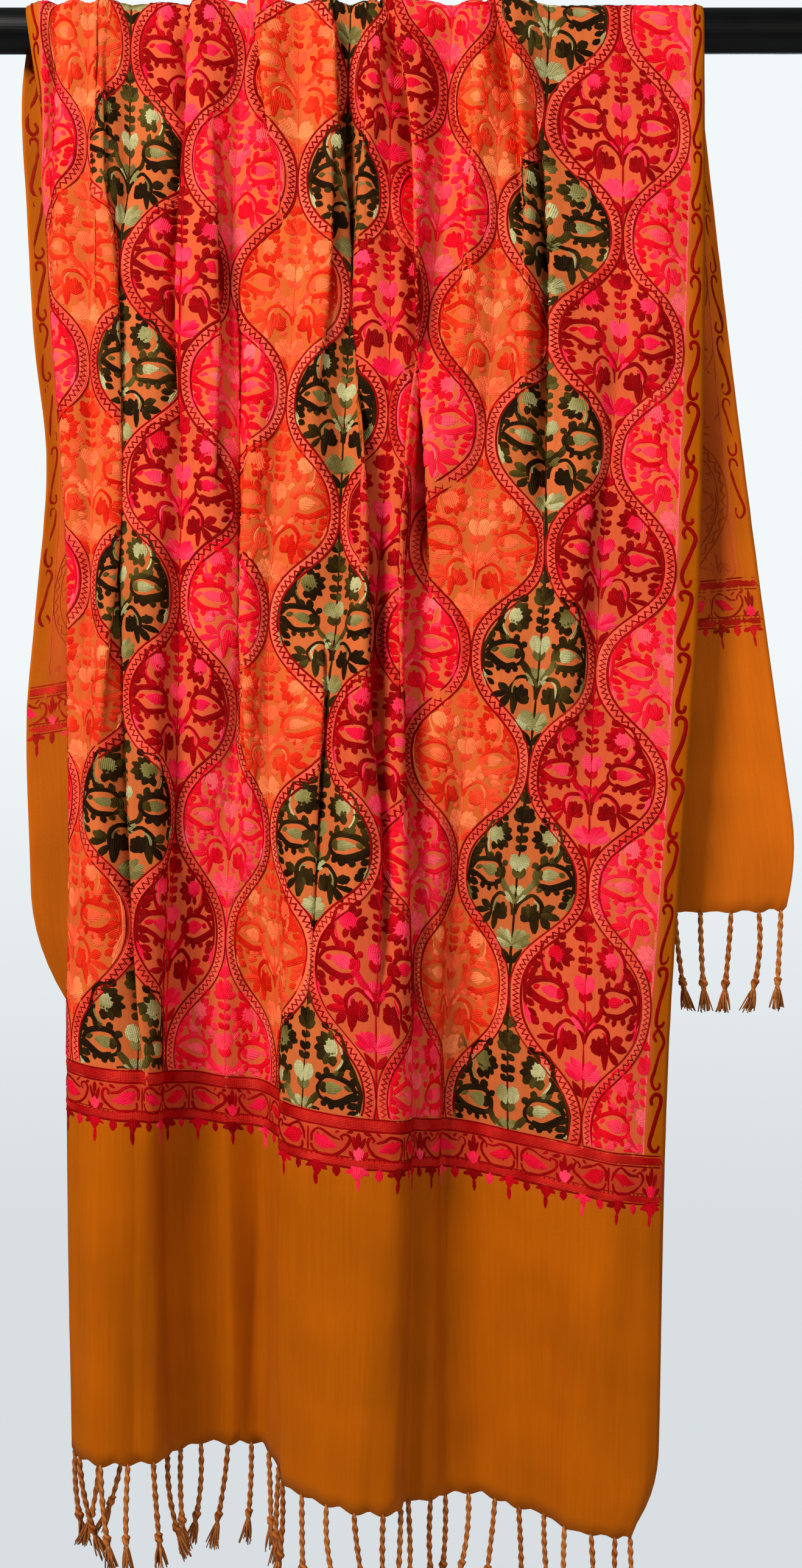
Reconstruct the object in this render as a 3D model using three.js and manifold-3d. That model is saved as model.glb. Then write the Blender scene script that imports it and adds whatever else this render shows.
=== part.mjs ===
// An embroidered Kashmiri stole hung over a round rod, in millimetres, +Z up.
// The origin is the middle of the rod's axis. The rod runs along X, the long fall hangs on the
// -Y side and the short fall on the +Y side.
//
// The cloth is one flat sheet with two flat coordinates: `flat` runs across it from the left
// selvedge, and `along` runs over the rod, from 0 on top of the rod, positive down the front and
// negative down the back. A table gives, for a few warp lines, where each one hangs at a few
// heights. Between two warp lines the spare cloth puffs out as a fold.
import * as THREE from 'three';
import { mergeVertices } from 'three/addons/utils/BufferGeometryUtils.js';
import Module from 'manifold-3d';

const wasm = await Module();
wasm.setup();

// Driving dimensions
const ROD = { radius: 17.5, length: 800, bevel: 1.5, sides: 48 };
const CLOTH = { width: 711, length: 2032, wall: 1.6, clearOfRod: 0.8, seamGap: 0.3 };
const DROP = { frontLeft: 1185, askew: 0.117 };
const SADDLE_HALF = 44;
const FOLD = { crease: 1.4, leanLoss: 0.55, leanReach: 0.3 };
const GRID = { perSpan: 4, frontRows: 20, backRows: 11, saddleRows: 12 };
const STRIP = { height: 5, inset: 3, perSpan: 3 };
const STRAND = {
  count: 31, radius: 1.65, drop: 60, knotRadius: 3.1, knot: 6, brush: 22, brushRadius: 4.6, stray: 9,
};

// How far down each fall, in mm from the rod's top, the columns of the table stand.
const LEVEL = { rod: 24, upper: 280, middle: 540, lower: 870, hem: 1215, backMiddle: 400, backHem: 800 };

// One row for each warp line. A pair is [across, out]: its place along the rod, and how far it
// stands out from the plane in which the fall hangs. `lean` [at the rod, at the hem] and `puff`
// [at the rod, on the fall, at the hem] shape the fold between a row and the next one.
const WARPS = [
  { flat: 0, rod: -301, upper: [-268, -12], middle: [-238, -16], lower: [-228, -6], hem: [-226, -2],
    backMiddle: [-314, 4], backHem: [-312, 2], lean: [0, 0], puff: [0.6, 1, 1] },
  { flat: 38, rod: -284, upper: [-284, -4], middle: [-262, -8], lower: [-252, 2], hem: [-250, 8],
    backMiddle: [-283, 0], backHem: [-278, 6], lean: [0, 0], puff: [0.6, 1, 0.8] },
  { flat: 75.5, rod: -259, upper: [-256, 8], middle: [-256, 8], lower: [-265, 14], hem: [-266, 22],
    backMiddle: [-249, 9], backHem: [-243, 0], lean: [1, 0], puff: [0.55, 1, 0.5] },
  { flat: 131.5, rod: -222, upper: [-228, 2], middle: [-219, 8], lower: [-218, 22], hem: [-214, 28],
    backMiddle: [-202, 1], backHem: [-194, 12], lean: [0.3, 0], puff: [0.4, 0.9, 0.5] },
  { flat: 187.5, rod: -172, upper: [-171, 10], middle: [-183, 6], lower: [-194, -16], hem: [-190, -14],
    backMiddle: [-153, 8], backHem: [-143, 2], lean: [0.8, 0], puff: [0.5, 1, -0.6] },
  { flat: 243.5, rod: -124, upper: [-142, -2], middle: [-135, 0], lower: [-146, -28], hem: [-148, -38],
    backMiddle: [-107, 0], backHem: [-94, 14], lean: [-0.8, 0], puff: [0.45, 0.9, -0.6] },
  { flat: 299.5, rod: -84, upper: [-90, 8], middle: [-106, 2], lower: [-106, -16], hem: [-105, -12],
    backMiddle: [-58, 7], backHem: [-42, 4], lean: [0.8, -0.6], puff: [0.6, 0.9, 0.6] },
  { flat: 355.5, rod: -42, upper: [-44, -2], middle: [-55, 10], lower: [-76, 30], hem: [-80, 38],
    backMiddle: [-12, 1], backHem: [8, 10], lean: [-1, 0], puff: [0.5, 1, 0.5] },
  { flat: 411.5, rod: -6, upper: [-10, 10], middle: [-20, 14], lower: [-18, 38], hem: [-25, 46],
    backMiddle: [38, 10], backHem: [60, 0], lean: [-0.8, 0], puff: [0.45, 1, 0.7] },
  { flat: 467.5, rod: 42, upper: [24, 2], middle: [3, -4], lower: [8, 0], hem: [7, 8],
    backMiddle: [84, 0], backHem: [110, 12], lean: [-0.6, 0], puff: [0.5, 0.8, 0.5] },
  { flat: 523.5, rod: 80, upper: [78, 6], middle: [56, 2], lower: [39, -22], hem: [41, -32],
    backMiddle: [132, 8], backHem: [161, 3], lean: [-0.8, 0], puff: [0.55, 0.9, -0.6] },
  { flat: 579.5, rod: 122, upper: [123, 0], middle: [113, 8], lower: [91, -14], hem: [93, -28],
    backMiddle: [180, 2], backHem: [212, 14], lean: [0, 0], puff: [0.5, 0.7, -0.5] },
  { flat: 635.5, rod: 179, upper: [178, 0], middle: [163, 2], lower: [147, 4], hem: [143, -12],
    backMiddle: [228, 7], backHem: [262, 2], lean: [0, 0], puff: [0.4, 0.5, 0.4] },
  { flat: 691.5, rod: 238, upper: [236, 0], middle: [222, 0], lower: [200, 12], hem: [190, 14],
    backMiddle: [276, 0], backHem: [312, 10], lean: [0, 0], puff: [0.3, 0.3, 0] },
  { flat: 711, rod: 249, upper: [250, -4], middle: [243, -2], lower: [217, 6], hem: [208, 18],
    backMiddle: [291, 3], backHem: [329, 4], lean: [0, 0], puff: [0, 0, 0] },
];

// The levels in order, from the back hem over the rod to the front hem.
const LEVELS = [
  { at: -LEVEL.backHem, pick: (warp) => warp.backHem, lean: 0, puff: () => 0 },
  { at: -LEVEL.backMiddle, pick: (warp) => warp.backMiddle, lean: 0.4, puff: (warp) => warp.puff[0] / 2 },
  { at: -LEVEL.rod, pick: (warp) => [warp.rod, 0], lean: 1, puff: (warp) => warp.puff[0] },
  { at: LEVEL.rod, pick: (warp) => [warp.rod, 0], lean: 1, puff: (warp) => warp.puff[0] },
  { at: LEVEL.upper, pick: (warp) => warp.upper, lean: 1, puff: (warp) => warp.puff[1] },
  { at: LEVEL.middle, pick: (warp) => warp.middle, lean: 0.6, puff: (warp) => warp.puff[1] },
  { at: LEVEL.lower, pick: (warp) => warp.lower, lean: 0, puff: (warp) => warp.puff[2] },
  { at: LEVEL.hem, pick: (warp) => warp.hem, lean: 0, puff: (warp) => warp.puff[2] },
];

// Corners of the sheet that curl: how far the curl reaches, and how far the corner itself moves
// in along the hem and out from the fall.
const CURLS = [
  { front: true, flat: CLOTH.width, reach: 75, inward: 20, outward: -14 },
  { front: true, flat: 0, reach: 50, inward: 8, outward: -6 },
  { front: false, flat: 0, reach: 110, inward: 34, outward: 14 },
  { front: false, flat: CLOTH.width, reach: 80, inward: 14, outward: 8 },
];

const midRadius = ROD.radius + CLOTH.clearOfRod + CLOTH.wall / 2;
const quarterTurn = (midRadius * Math.PI) / 2;
const frontDrop = (flat) => DROP.frontLeft + DROP.askew * flat;
const backDrop = (flat) => CLOTH.length - frontDrop(flat);
const noise = (seed) => Math.sin(seed * 12.9898 + 4.1) * Math.cos(seed * 7.233);

// A smooth curve through values at uneven knots, level before the first and after the last.
function smoothThrough(knots, values, x) {
  const last = knots.length - 1;
  if (x <= knots[0]) return values[0];
  if (x >= knots[last]) return values[last];
  let i = 0;
  while (x > knots[i + 1]) i += 1;
  const slope = (k) => {
    const before = Math.max(k - 1, 0);
    const after = Math.min(k + 1, last);
    return (values[after] - values[before]) / (knots[after] - knots[before]);
  };
  const width = knots[i + 1] - knots[i];
  const t = (x - knots[i]) / width;
  const rise = t * t * (3 - 2 * t);
  const leave = t * (1 - t) * (1 - t) * width * slope(i);
  const arrive = t * t * (t - 1) * width * slope(i + 1);
  return values[i] + (values[i + 1] - values[i]) * rise + leave + arrive;
}

const levelKnots = LEVELS.map((level) => level.at);
const flatKnots = WARPS.map((warp) => warp.flat);

// The section of the cloth at one height: the place of every warp line and the folds between.
function sectionAt(along) {
  const through = (read) => smoothThrough(levelKnots, LEVELS.map(read), along);
  const across = WARPS.map((warp) => through((level) => level.pick(warp)[0]));
  const out = WARPS.map((warp) => through((level) => level.pick(warp)[1]));
  const lean = WARPS.map((warp) => through(
    (level) => warp.lean[0] * level.lean + warp.lean[1] * (1 - level.lean),
  ));
  const puff = WARPS.map((warp) => through((level) => level.puff(warp)));
  return { across, out, lean, puff };
}

// A point of the section: [across, out] of the cloth's middle surface at one flat place.
function sectionPoint(section, flat) {
  let i = 0;
  while (i < WARPS.length - 2 && flat > flatKnots[i + 1]) i += 1;
  const spare = flatKnots[i + 1] - flatKnots[i];
  const t = (flat - flatKnots[i]) / spare;
  const run = [section.across[i + 1] - section.across[i], section.out[i + 1] - section.out[i]];
  const chord = Math.min(Math.hypot(...run), spare);
  const direction = Math.atan2(run[1], run[0]);
  const lean = section.lean[i];
  const height = (2 / Math.PI) * Math.sqrt(chord * (spare - chord)) * section.puff[i]
    * (1 - FOLD.leanLoss * Math.abs(lean));
  const swell = height * Math.sin(Math.PI * t) ** FOLD.crease;
  const drift = swell * lean * FOLD.leanReach;
  return [
    smoothThrough(flatKnots, section.across, flat) - swell * Math.sin(direction) + drift * Math.cos(direction),
    smoothThrough(flatKnots, section.out, flat) + swell * Math.cos(direction) + drift * Math.sin(direction),
  ];
}

// Puts a point of the sheet, standing `lift` off its hanging plane, in space.
function place(along, across, lift) {
  const reach = midRadius + lift;
  if (Math.abs(along) <= quarterTurn) {
    const turn = along / midRadius;
    return new THREE.Vector3(across, -reach * Math.sin(turn), reach * Math.cos(turn));
  }
  const drop = Math.abs(along) - quarterTurn;
  return new THREE.Vector3(across, -reach * Math.sign(along), -drop);
}

// How far a point of the sheet is curled, as [across, out].
function curlAt(along, flat) {
  const moved = [0, 0];
  CURLS.filter((curl) => curl.front === along > 0).forEach((curl) => {
    const fromHem = (curl.front ? frontDrop(flat) : backDrop(flat)) - Math.abs(along);
    const away = (fromHem + Math.abs(curl.flat - flat)) / curl.reach;
    const share = Math.max(1 - away, 0) ** 2;
    moved[0] += share * curl.inward * (curl.flat > 0 ? -1 : 1);
    moved[1] += share * curl.outward;
  });
  return moved;
}

function drape(along, flat) {
  const [across, out] = sectionPoint(sectionAt(along), flat);
  const [inward, outward] = curlAt(along, flat);
  return place(along, across + inward, out + outward);
}

// The flat places of the columns: evenly between each two warp lines.
function columnsEvery(perSpan) {
  const columns = [];
  for (let i = 0; i < WARPS.length - 1; i += 1) {
    for (let k = 0; k < perSpan; k += 1) {
      columns.push(flatKnots[i] + ((flatKnots[i + 1] - flatKnots[i]) * k) / perSpan);
    }
  }
  return [...columns, CLOTH.width];
}

// A wall of even thickness on a grid of points, closed along its four edges.
function wallGeometry(points, thickness) {
  const rows = points.length;
  const cols = points[0].length;
  const clampRow = (r) => Math.min(Math.max(r, 0), rows - 1);
  const clampCol = (c) => Math.min(Math.max(c, 0), cols - 1);
  const outer = [];
  const inner = [];
  for (let r = 0; r < rows; r += 1) {
    for (let c = 0; c < cols; c += 1) {
      const down = points[clampRow(r + 1)][c].clone().sub(points[clampRow(r - 1)][c]);
      const side = points[r][clampCol(c + 1)].clone().sub(points[r][clampCol(c - 1)]);
      const normal = down.cross(side).normalize().multiplyScalar(thickness / 2);
      outer.push(points[r][c].clone().add(normal));
      inner.push(points[r][c].clone().sub(normal));
    }
  }
  const index = [];
  const quad = (a, b, c, d) => index.push(a, b, c, a, c, d);
  const below = outer.length;
  const at = (r, c) => r * cols + c;
  for (let r = 0; r < rows - 1; r += 1) {
    for (let c = 0; c < cols - 1; c += 1) {
      quad(at(r, c), at(r + 1, c), at(r + 1, c + 1), at(r, c + 1));
      quad(below + at(r, c), below + at(r, c + 1), below + at(r + 1, c + 1), below + at(r + 1, c));
    }
    quad(at(r, 0), below + at(r, 0), below + at(r + 1, 0), at(r + 1, 0));
    const end = cols - 1;
    quad(at(r, end), at(r + 1, end), below + at(r + 1, end), below + at(r, end));
  }
  for (let c = 0; c < cols - 1; c += 1) {
    quad(at(0, c), at(0, c + 1), below + at(0, c + 1), below + at(0, c));
    const end = rows - 1;
    quad(at(end, c), below + at(end, c), below + at(end, c + 1), at(end, c + 1));
  }
  const geometry = new THREE.BufferGeometry();
  const flatList = [...outer, ...inner].flatMap((point) => point.toArray());
  geometry.setAttribute('position', new THREE.Float32BufferAttribute(flatList, 3));
  geometry.setIndex(index);
  return geometry;
}

// The grid of one stretch: rows from one `along` to another, either of which may slope.
function stretchGrid(columns, rows, from, to) {
  const grid = [];
  for (let r = 0; r <= rows; r += 1) {
    grid.push(columns.map((flat) => drape(from(flat) + ((to(flat) - from(flat)) * r) / rows, flat)));
  }
  return grid;
}

function toSolid(geometry) {
  const bare = new THREE.BufferGeometry();
  bare.setAttribute('position', geometry.getAttribute('position').clone());
  bare.setIndex(geometry.getIndex().clone());
  const merged = mergeVertices(bare, 1e-4);
  return new wasm.Manifold(new wasm.Mesh({
    numProp: 3,
    vertProperties: new Float32Array(merged.getAttribute('position').array),
    triVerts: new Uint32Array(merged.getIndex().array),
  }));
}

function fromSolid(solid) {
  const mesh = solid.getMesh();
  const geometry = new THREE.BufferGeometry();
  geometry.setAttribute('position', new THREE.Float32BufferAttribute(mesh.vertProperties, 3));
  geometry.setIndex(new THREE.Uint32BufferAttribute(mesh.triVerts, 1));
  return geometry;
}

// A four-sided strand: the twist, the knot and the frayed brush, as rings along a plumb line
// that strays a little.
function strandGeometry(root, seed) {
  const knotTop = STRAND.drop;
  const knotEnd = knotTop + STRAND.knot;
  const rings = [
    { drop: -STRIP.inset, radius: STRAND.radius },
    { drop: knotTop / 2, radius: STRAND.radius },
    { drop: knotTop, radius: STRAND.radius },
    { drop: knotTop + STRAND.knot / 2, radius: STRAND.knotRadius },
    { drop: knotEnd, radius: STRAND.radius },
    { drop: knotEnd + STRAND.brush, radius: STRAND.brushRadius },
  ];
  const length = knotEnd + STRAND.brush;
  const corners = [[-1, -1], [1, -1], [1, 1], [-1, 1]];
  const points = [];
  rings.forEach(({ drop, radius }) => {
    const way = Math.max(drop, 0) / length;
    const centre = root.clone().add(new THREE.Vector3(
      STRAND.stray * noise(seed) * way * way,
      STRAND.stray * 0.4 * noise(seed + 50) * way,
      -drop,
    ));
    const half = radius * Math.SQRT1_2 * 1.2;
    corners.forEach(([x, y]) => points.push(centre.clone().add(new THREE.Vector3(x * half, y * half, 0))));
  });
  const index = [];
  for (let ring = 0; ring < rings.length - 1; ring += 1) {
    for (let k = 0; k < 4; k += 1) {
      const a = ring * 4 + k;
      const b = ring * 4 + ((k + 1) % 4);
      index.push(a, a + 4, b + 4, a, b + 4, b);
    }
  }
  const end = (rings.length - 1) * 4;
  index.push(0, 1, 2, 0, 2, 3, end, end + 2, end + 1, end, end + 3, end + 2);
  const geometry = new THREE.BufferGeometry();
  geometry.setAttribute('position', new THREE.Float32BufferAttribute(points.flatMap((p) => p.toArray()), 3));
  geometry.setIndex(index);
  return geometry;
}

// A fringe: a narrow strip just past the hem, with the strands' roots fused into it.
function fringeGeometry(side) {
  const hem = side > 0 ? frontDrop : (flat) => -backDrop(flat);
  const from = (flat) => hem(flat) + side * CLOTH.seamGap;
  const to = (flat) => from(flat) + side * STRIP.height;
  const columns = columnsEvery(STRIP.perSpan);
  const grid = side > 0
    ? stretchGrid(columns, 1, from, to)
    : stretchGrid(columns, 1, to, from);
  let fringe = toSolid(wallGeometry(grid, CLOTH.wall));
  const lowRow = side > 0 ? grid[1] : grid[0];
  const pitch = CLOTH.width / STRAND.count;
  for (let k = 0; k < STRAND.count; k += 1) {
    const flat = pitch * (k + 0.5);
    const next = columns.findIndex((column) => column > flat);
    const share = (flat - columns[next - 1]) / (columns[next] - columns[next - 1]);
    const root = lowRow[next - 1].clone().lerp(lowRow[next], share);
    fringe = fringe.add(toSolid(strandGeometry(root, k + (side > 0 ? 0 : 100))));
  }
  return fromSolid(fringe);
}

// A solid round rod with bevelled ends, along X.
function rodGeometry() {
  const half = ROD.length / 2;
  const profile = [
    new THREE.Vector2(0, -half),
    new THREE.Vector2(ROD.radius - ROD.bevel, -half),
    new THREE.Vector2(ROD.radius, -half + ROD.bevel),
    new THREE.Vector2(ROD.radius, half - ROD.bevel),
    new THREE.Vector2(ROD.radius - ROD.bevel, half),
    new THREE.Vector2(0, half),
  ];
  return new THREE.LatheGeometry(profile, ROD.sides).rotateZ(-Math.PI / 2);
}

const wool = new THREE.MeshStandardMaterial({ color: 0xb5651d, roughness: 0.78, metalness: 0 });
const stitchedWool = new THREE.MeshStandardMaterial({ color: 0xc8452f, roughness: 0.62, metalness: 0 });
const twistedWool = new THREE.MeshStandardMaterial({ color: 0xa9662f, roughness: 0.8, metalness: 0 });
const blackSatin = new THREE.MeshStandardMaterial({ color: 0x141416, roughness: 0.35, metalness: 0.2 });

const shawl = new THREE.Group();

function addPart(name, geometry, material) {
  const mesh = new THREE.Mesh(geometry, material);
  mesh.name = name;
  shawl.add(mesh);
}

const fine = columnsEvery(GRID.perSpan);
const coarse = columnsEvery(GRID.perSpan - 1);
const fallStart = SADDLE_HALF + CLOTH.seamGap / 2;
const saddleEnd = SADDLE_HALF - CLOTH.seamGap / 2;

addPart('rod', rodGeometry(), blackSatin);
addPart(
  'fall_front',
  wallGeometry(stretchGrid(fine, GRID.frontRows, () => fallStart, frontDrop), CLOTH.wall),
  stitchedWool,
);
addPart(
  'saddle',
  wallGeometry(stretchGrid(fine, GRID.saddleRows, () => -saddleEnd, () => saddleEnd), CLOTH.wall),
  stitchedWool,
);
addPart(
  'fall_back',
  wallGeometry(
    stretchGrid(coarse, GRID.backRows, (flat) => -backDrop(flat), () => -fallStart),
    CLOTH.wall,
  ),
  wool,
);
addPart('fringe_front', fringeGeometry(1), twistedWool);
addPart('fringe_back', fringeGeometry(-1), twistedWool);

export default shawl;
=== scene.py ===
"""Dresses an embroidered Kashmiri stole that hangs over a round black rod.

The frame is in metres, +Z up, with its origin in the middle of the rod's axis: the long fall
hangs on the -Y side and the short one on the +Y side. Up to the moment when a mesh is made,
every size here is in millimetres.

A place on the sheet has two flat coordinates. `u` runs across from the left selvedge. `along`
runs over the rod, from 0 on top of it, positive down the front and negative down the back.
The needlework is charted in `u` and `v`, where v is the distance up from the front hem.
"""
from __future__ import annotations

import logging
import math
from collections.abc import Callable
from dataclasses import dataclass, field
from enum import Enum

import bpy
import numpy as np
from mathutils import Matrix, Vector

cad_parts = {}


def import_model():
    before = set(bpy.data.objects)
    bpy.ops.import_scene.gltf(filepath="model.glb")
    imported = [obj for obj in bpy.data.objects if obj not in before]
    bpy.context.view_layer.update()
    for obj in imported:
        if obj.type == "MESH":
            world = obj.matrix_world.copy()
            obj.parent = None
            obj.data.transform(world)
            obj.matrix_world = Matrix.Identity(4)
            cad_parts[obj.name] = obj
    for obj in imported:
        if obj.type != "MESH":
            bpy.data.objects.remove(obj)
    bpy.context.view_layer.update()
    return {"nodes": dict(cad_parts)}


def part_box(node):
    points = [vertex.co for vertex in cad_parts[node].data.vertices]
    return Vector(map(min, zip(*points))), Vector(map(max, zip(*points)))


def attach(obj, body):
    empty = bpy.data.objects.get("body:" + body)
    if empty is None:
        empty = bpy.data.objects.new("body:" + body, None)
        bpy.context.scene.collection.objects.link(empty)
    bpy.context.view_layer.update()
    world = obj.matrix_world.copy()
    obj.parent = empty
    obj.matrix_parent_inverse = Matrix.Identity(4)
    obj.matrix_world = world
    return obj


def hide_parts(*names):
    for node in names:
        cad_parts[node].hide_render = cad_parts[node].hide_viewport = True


LOG = logging.getLogger("shawl")
MM = 0.001
Pair = tuple[float, float]
Colour = tuple[float, float, float]
Socket = bpy.types.NodeSocket
Value = Socket | float | tuple[float, ...]


def linear(red: float, green: float, blue: float) -> Colour:
    """Turns a display colour, 0 to 255 a channel, into a linear one."""

    def channel(value: float) -> float:
        """One channel of the colour."""
        share = value / 255.0
        return share / 12.92 if share <= 0.04045 else ((share + 0.055) / 1.055) ** 2.4

    return channel(red), channel(green), channel(blue)


def smooth_through(knots: np.ndarray, values: np.ndarray, x: np.ndarray) -> np.ndarray:
    """Runs a smooth curve through values at uneven knots.

    Args:
        knots: Rising places of the values, K of them.
        values: The values, with K as the last axis.
        x: Places to read, held inside the knots.

    Returns:
        The curve at x, with x as the last axis.
    """
    last = len(knots) - 1
    slopes = np.empty_like(values)
    slopes[..., 1:-1] = (values[..., 2:] - values[..., :-2]) / (knots[2:] - knots[:-2])
    slopes[..., 0] = (values[..., 1] - values[..., 0]) / (knots[1] - knots[0])
    slopes[..., -1] = (values[..., -1] - values[..., -2]) / (knots[-1] - knots[-2])
    span = np.clip(np.searchsorted(knots, x, side="right") - 1, 0, last - 1)
    width = knots[span + 1] - knots[span]
    t = np.clip((x - knots[span]) / width, 0.0, 1.0)
    start, end = values[..., span], values[..., span + 1]
    leave = t * (1 - t) ** 2 * width * slopes[..., span]
    arrive = t * t * (t - 1) * width * slopes[..., span + 1]
    return start + (end - start) * t * t * (3 - 2 * t) + leave + arrive


def within(x: np.ndarray, low: float | np.ndarray, high: float | np.ndarray,
           fade: float) -> np.ndarray:
    """1 well inside low to high, 0 outside, with a ramp as wide as fade inside either end."""
    return np.clip((x - low) / fade, 0, 1) * np.clip((high - x) / fade, 0, 1)


def eased(share: np.ndarray) -> np.ndarray:
    """A share from 0 to 1 that starts and ends gently."""
    return share * share * (3 - 2 * share)


def unit(vectors: np.ndarray) -> np.ndarray:
    """Vectors with the same headings and a length of 1."""
    return vectors / np.maximum(np.linalg.norm(vectors, axis=-1, keepdims=True), 1e-9)


def blend(first: Colour | np.ndarray, second: Colour | np.ndarray,
          share: float | np.ndarray) -> np.ndarray:
    """Moves from the first colour to the second by share."""
    return np.array(first) * (1 - share) + np.array(second) * share


# --- the drape


@dataclass(frozen=True)
class ClothSizes:
    """The flat sheet and how far it hangs, in mm."""

    # From selvedge to selvedge, from hem to hem, and through the cloth.
    width: float = 711.0
    length: float = 2032.0
    wall: float = 1.0
    rod_gap: float = 0.15
    # How far the front hem hangs at the left selvedge, and how much lower per mm to the right.
    front_left: float = 1188.0
    askew: float = 0.128
    # The strands of a fringe, and how far the root of each pulls the hem down.
    strands: int = 31
    scallop: float = 4.2

    def front_drop(self, u: np.ndarray) -> np.ndarray:
        """How far the front hem hangs below the rod's top, along the cloth."""
        return self.front_left + self.askew * u

    def back_drop(self, u: np.ndarray) -> np.ndarray:
        """How far the back hem hangs below the rod's top, along the cloth."""
        return self.length - self.front_drop(u)


@dataclass(frozen=True)
class Warp:
    """Where one warp line hangs. A pair is (place along the rod, distance out of the fall)."""

    # Its u on the flat sheet, and its place where it lies on the rod.
    flat: float
    rod: float
    # Its places down the front fall, and those down the back fall.
    upper: Pair
    middle: Pair
    lower: Pair
    hem: Pair
    back_middle: Pair
    back_hem: Pair
    # How far the fold to its right leans over, at the rod and at the hem, and how full it is, at
    # the rod, on the fall and at the hem.
    lean: Pair
    puff: tuple[float, float, float]


WARPS = (
    Warp(0, -308, (-268, -12), (-238, -16), (-228, -6), (-226, -5), (-309, 4), (-313, 2),
         (0, 0), (0.6, 1, 1)),
    Warp(38, -284, (-284, -4), (-262, -8), (-252, 2), (-250, 3), (-280, 0), (-278, 6),
         (0, 0), (0.6, 1, 0.8)),
    Warp(75.5, -259, (-256, 8), (-256, 8), (-265, 14), (-266, 13), (-249, 9), (-243, 0),
         (1, 0), (0.55, 1, 0.5)),
    Warp(131.5, -222, (-228, 2), (-219, 8), (-218, 22), (-214, 16), (-202, 1), (-194, 12),
         (0.3, 0), (0.4, 0.9, 0.5)),
    Warp(187.5, -172, (-171, 10), (-183, 6), (-194, -16), (-190, -24), (-153, 8), (-143, 2),
         (0.8, 0), (0.5, 1, -0.6)),
    Warp(243.5, -124, (-142, -2), (-135, 0), (-146, -28), (-148, -50), (-107, 0), (-94, 14),
         (-0.8, 0), (0.45, 0.9, -0.6)),
    Warp(299.5, -84, (-90, 8), (-106, 2), (-106, -16), (-105, -38), (-58, 7), (-42, 4),
         (0.8, -0.6), (0.6, 0.9, 0.6)),
    Warp(355.5, -42, (-44, -2), (-55, 10), (-76, 26), (-82, 8), (-12, 1), (8, 10),
         (-1, 0), (0.5, 1, 0.5)),
    Warp(411.5, -6, (-10, 10), (-20, 14), (-18, 36), (-29, 26), (38, 10), (60, 0),
         (-0.8, 0), (0.45, 1, 0.7)),
    Warp(467.5, 42, (24, 2), (3, -4), (8, -2), (7, -11), (84, 0), (110, 12),
         (-0.6, 0), (0.5, 0.8, 0.5)),
    Warp(523.5, 80, (78, 6), (56, 2), (39, -30), (41, -40), (132, 8), (161, 3),
         (-0.8, 0), (0.55, 0.9, -0.6)),
    Warp(579.5, 122, (123, 0), (113, 8), (91, -18), (93, -30), (180, 2), (212, 14),
         (0, 0), (0.5, 0.7, -0.5)),
    Warp(635.5, 179, (178, 0), (163, 2), (147, 4), (142, -8), (228, 7), (262, 2),
         (0, 0), (0.4, 0.5, 0.4)),
    Warp(691.5, 238, (236, 0), (222, 0), (203, 6), (196, 2), (278, 0), (331, 10),
         (0, 0), (0.3, 0.3, 0)),
    Warp(711, 249, (250, -4), (243, -2), (220, 0), (212, -4), (293, 3), (350, 4),
         (0, 0), (0, 0, 0)),
)


# How far the left selvedge waves along the rod behind it: pairs of along and the move.
BACK_EDGE = ((-800, 0), (-727, -2), (-596, -7), (-510, -1), (-380, 8), (-277, -3), (-165, -9),
             (-80, -13), (-24, -7), (6, 0))


@dataclass(frozen=True)
class Level:
    """A height at which the table of warps is read, and the warps' column that holds there."""

    at: float
    column: str
    # How much it takes of the lean at the rod (the rest is that at the hem), and of which puff.
    lean_share: float
    puff_index: int
    puff_share: float = 1.0


LEVELS = (
    Level(-800, "back_hem", 0, 0, 0),
    Level(-400, "back_middle", 0.4, 0, 0.5),
    Level(-24, "rod", 0.2, 0, 0.45),
    Level(24, "rod", 0.2, 0, 0.45),
    Level(280, "upper", 1, 1),
    Level(540, "middle", 0.6, 1),
    Level(870, "lower", 0, 2),
    Level(1215, "hem", 0, 2),
)


@dataclass(frozen=True)
class Curl:
    """A corner of the sheet that curls: its reach and how far the corner moves, in mm."""

    front: bool
    flat: float
    reach: float
    inward: float
    outward: float


CURLS = (
    Curl(True, 711, 75, 20, -14),
    Curl(True, 0, 50, 8, -6),
    Curl(False, 0, 110, 34, 14),
    Curl(False, 711, 80, 14, 8),
)


@dataclass(frozen=True)
class Crease:
    """A soft trough (or a ridge, where depth is positive) that runs up the sheet."""

    u: float
    # Its two ends, as v, and how far it moves across for each mm up.
    low: float
    high: float
    slant: float
    # Its half-width, and how far it stands out.
    width: float
    depth: float


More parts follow.
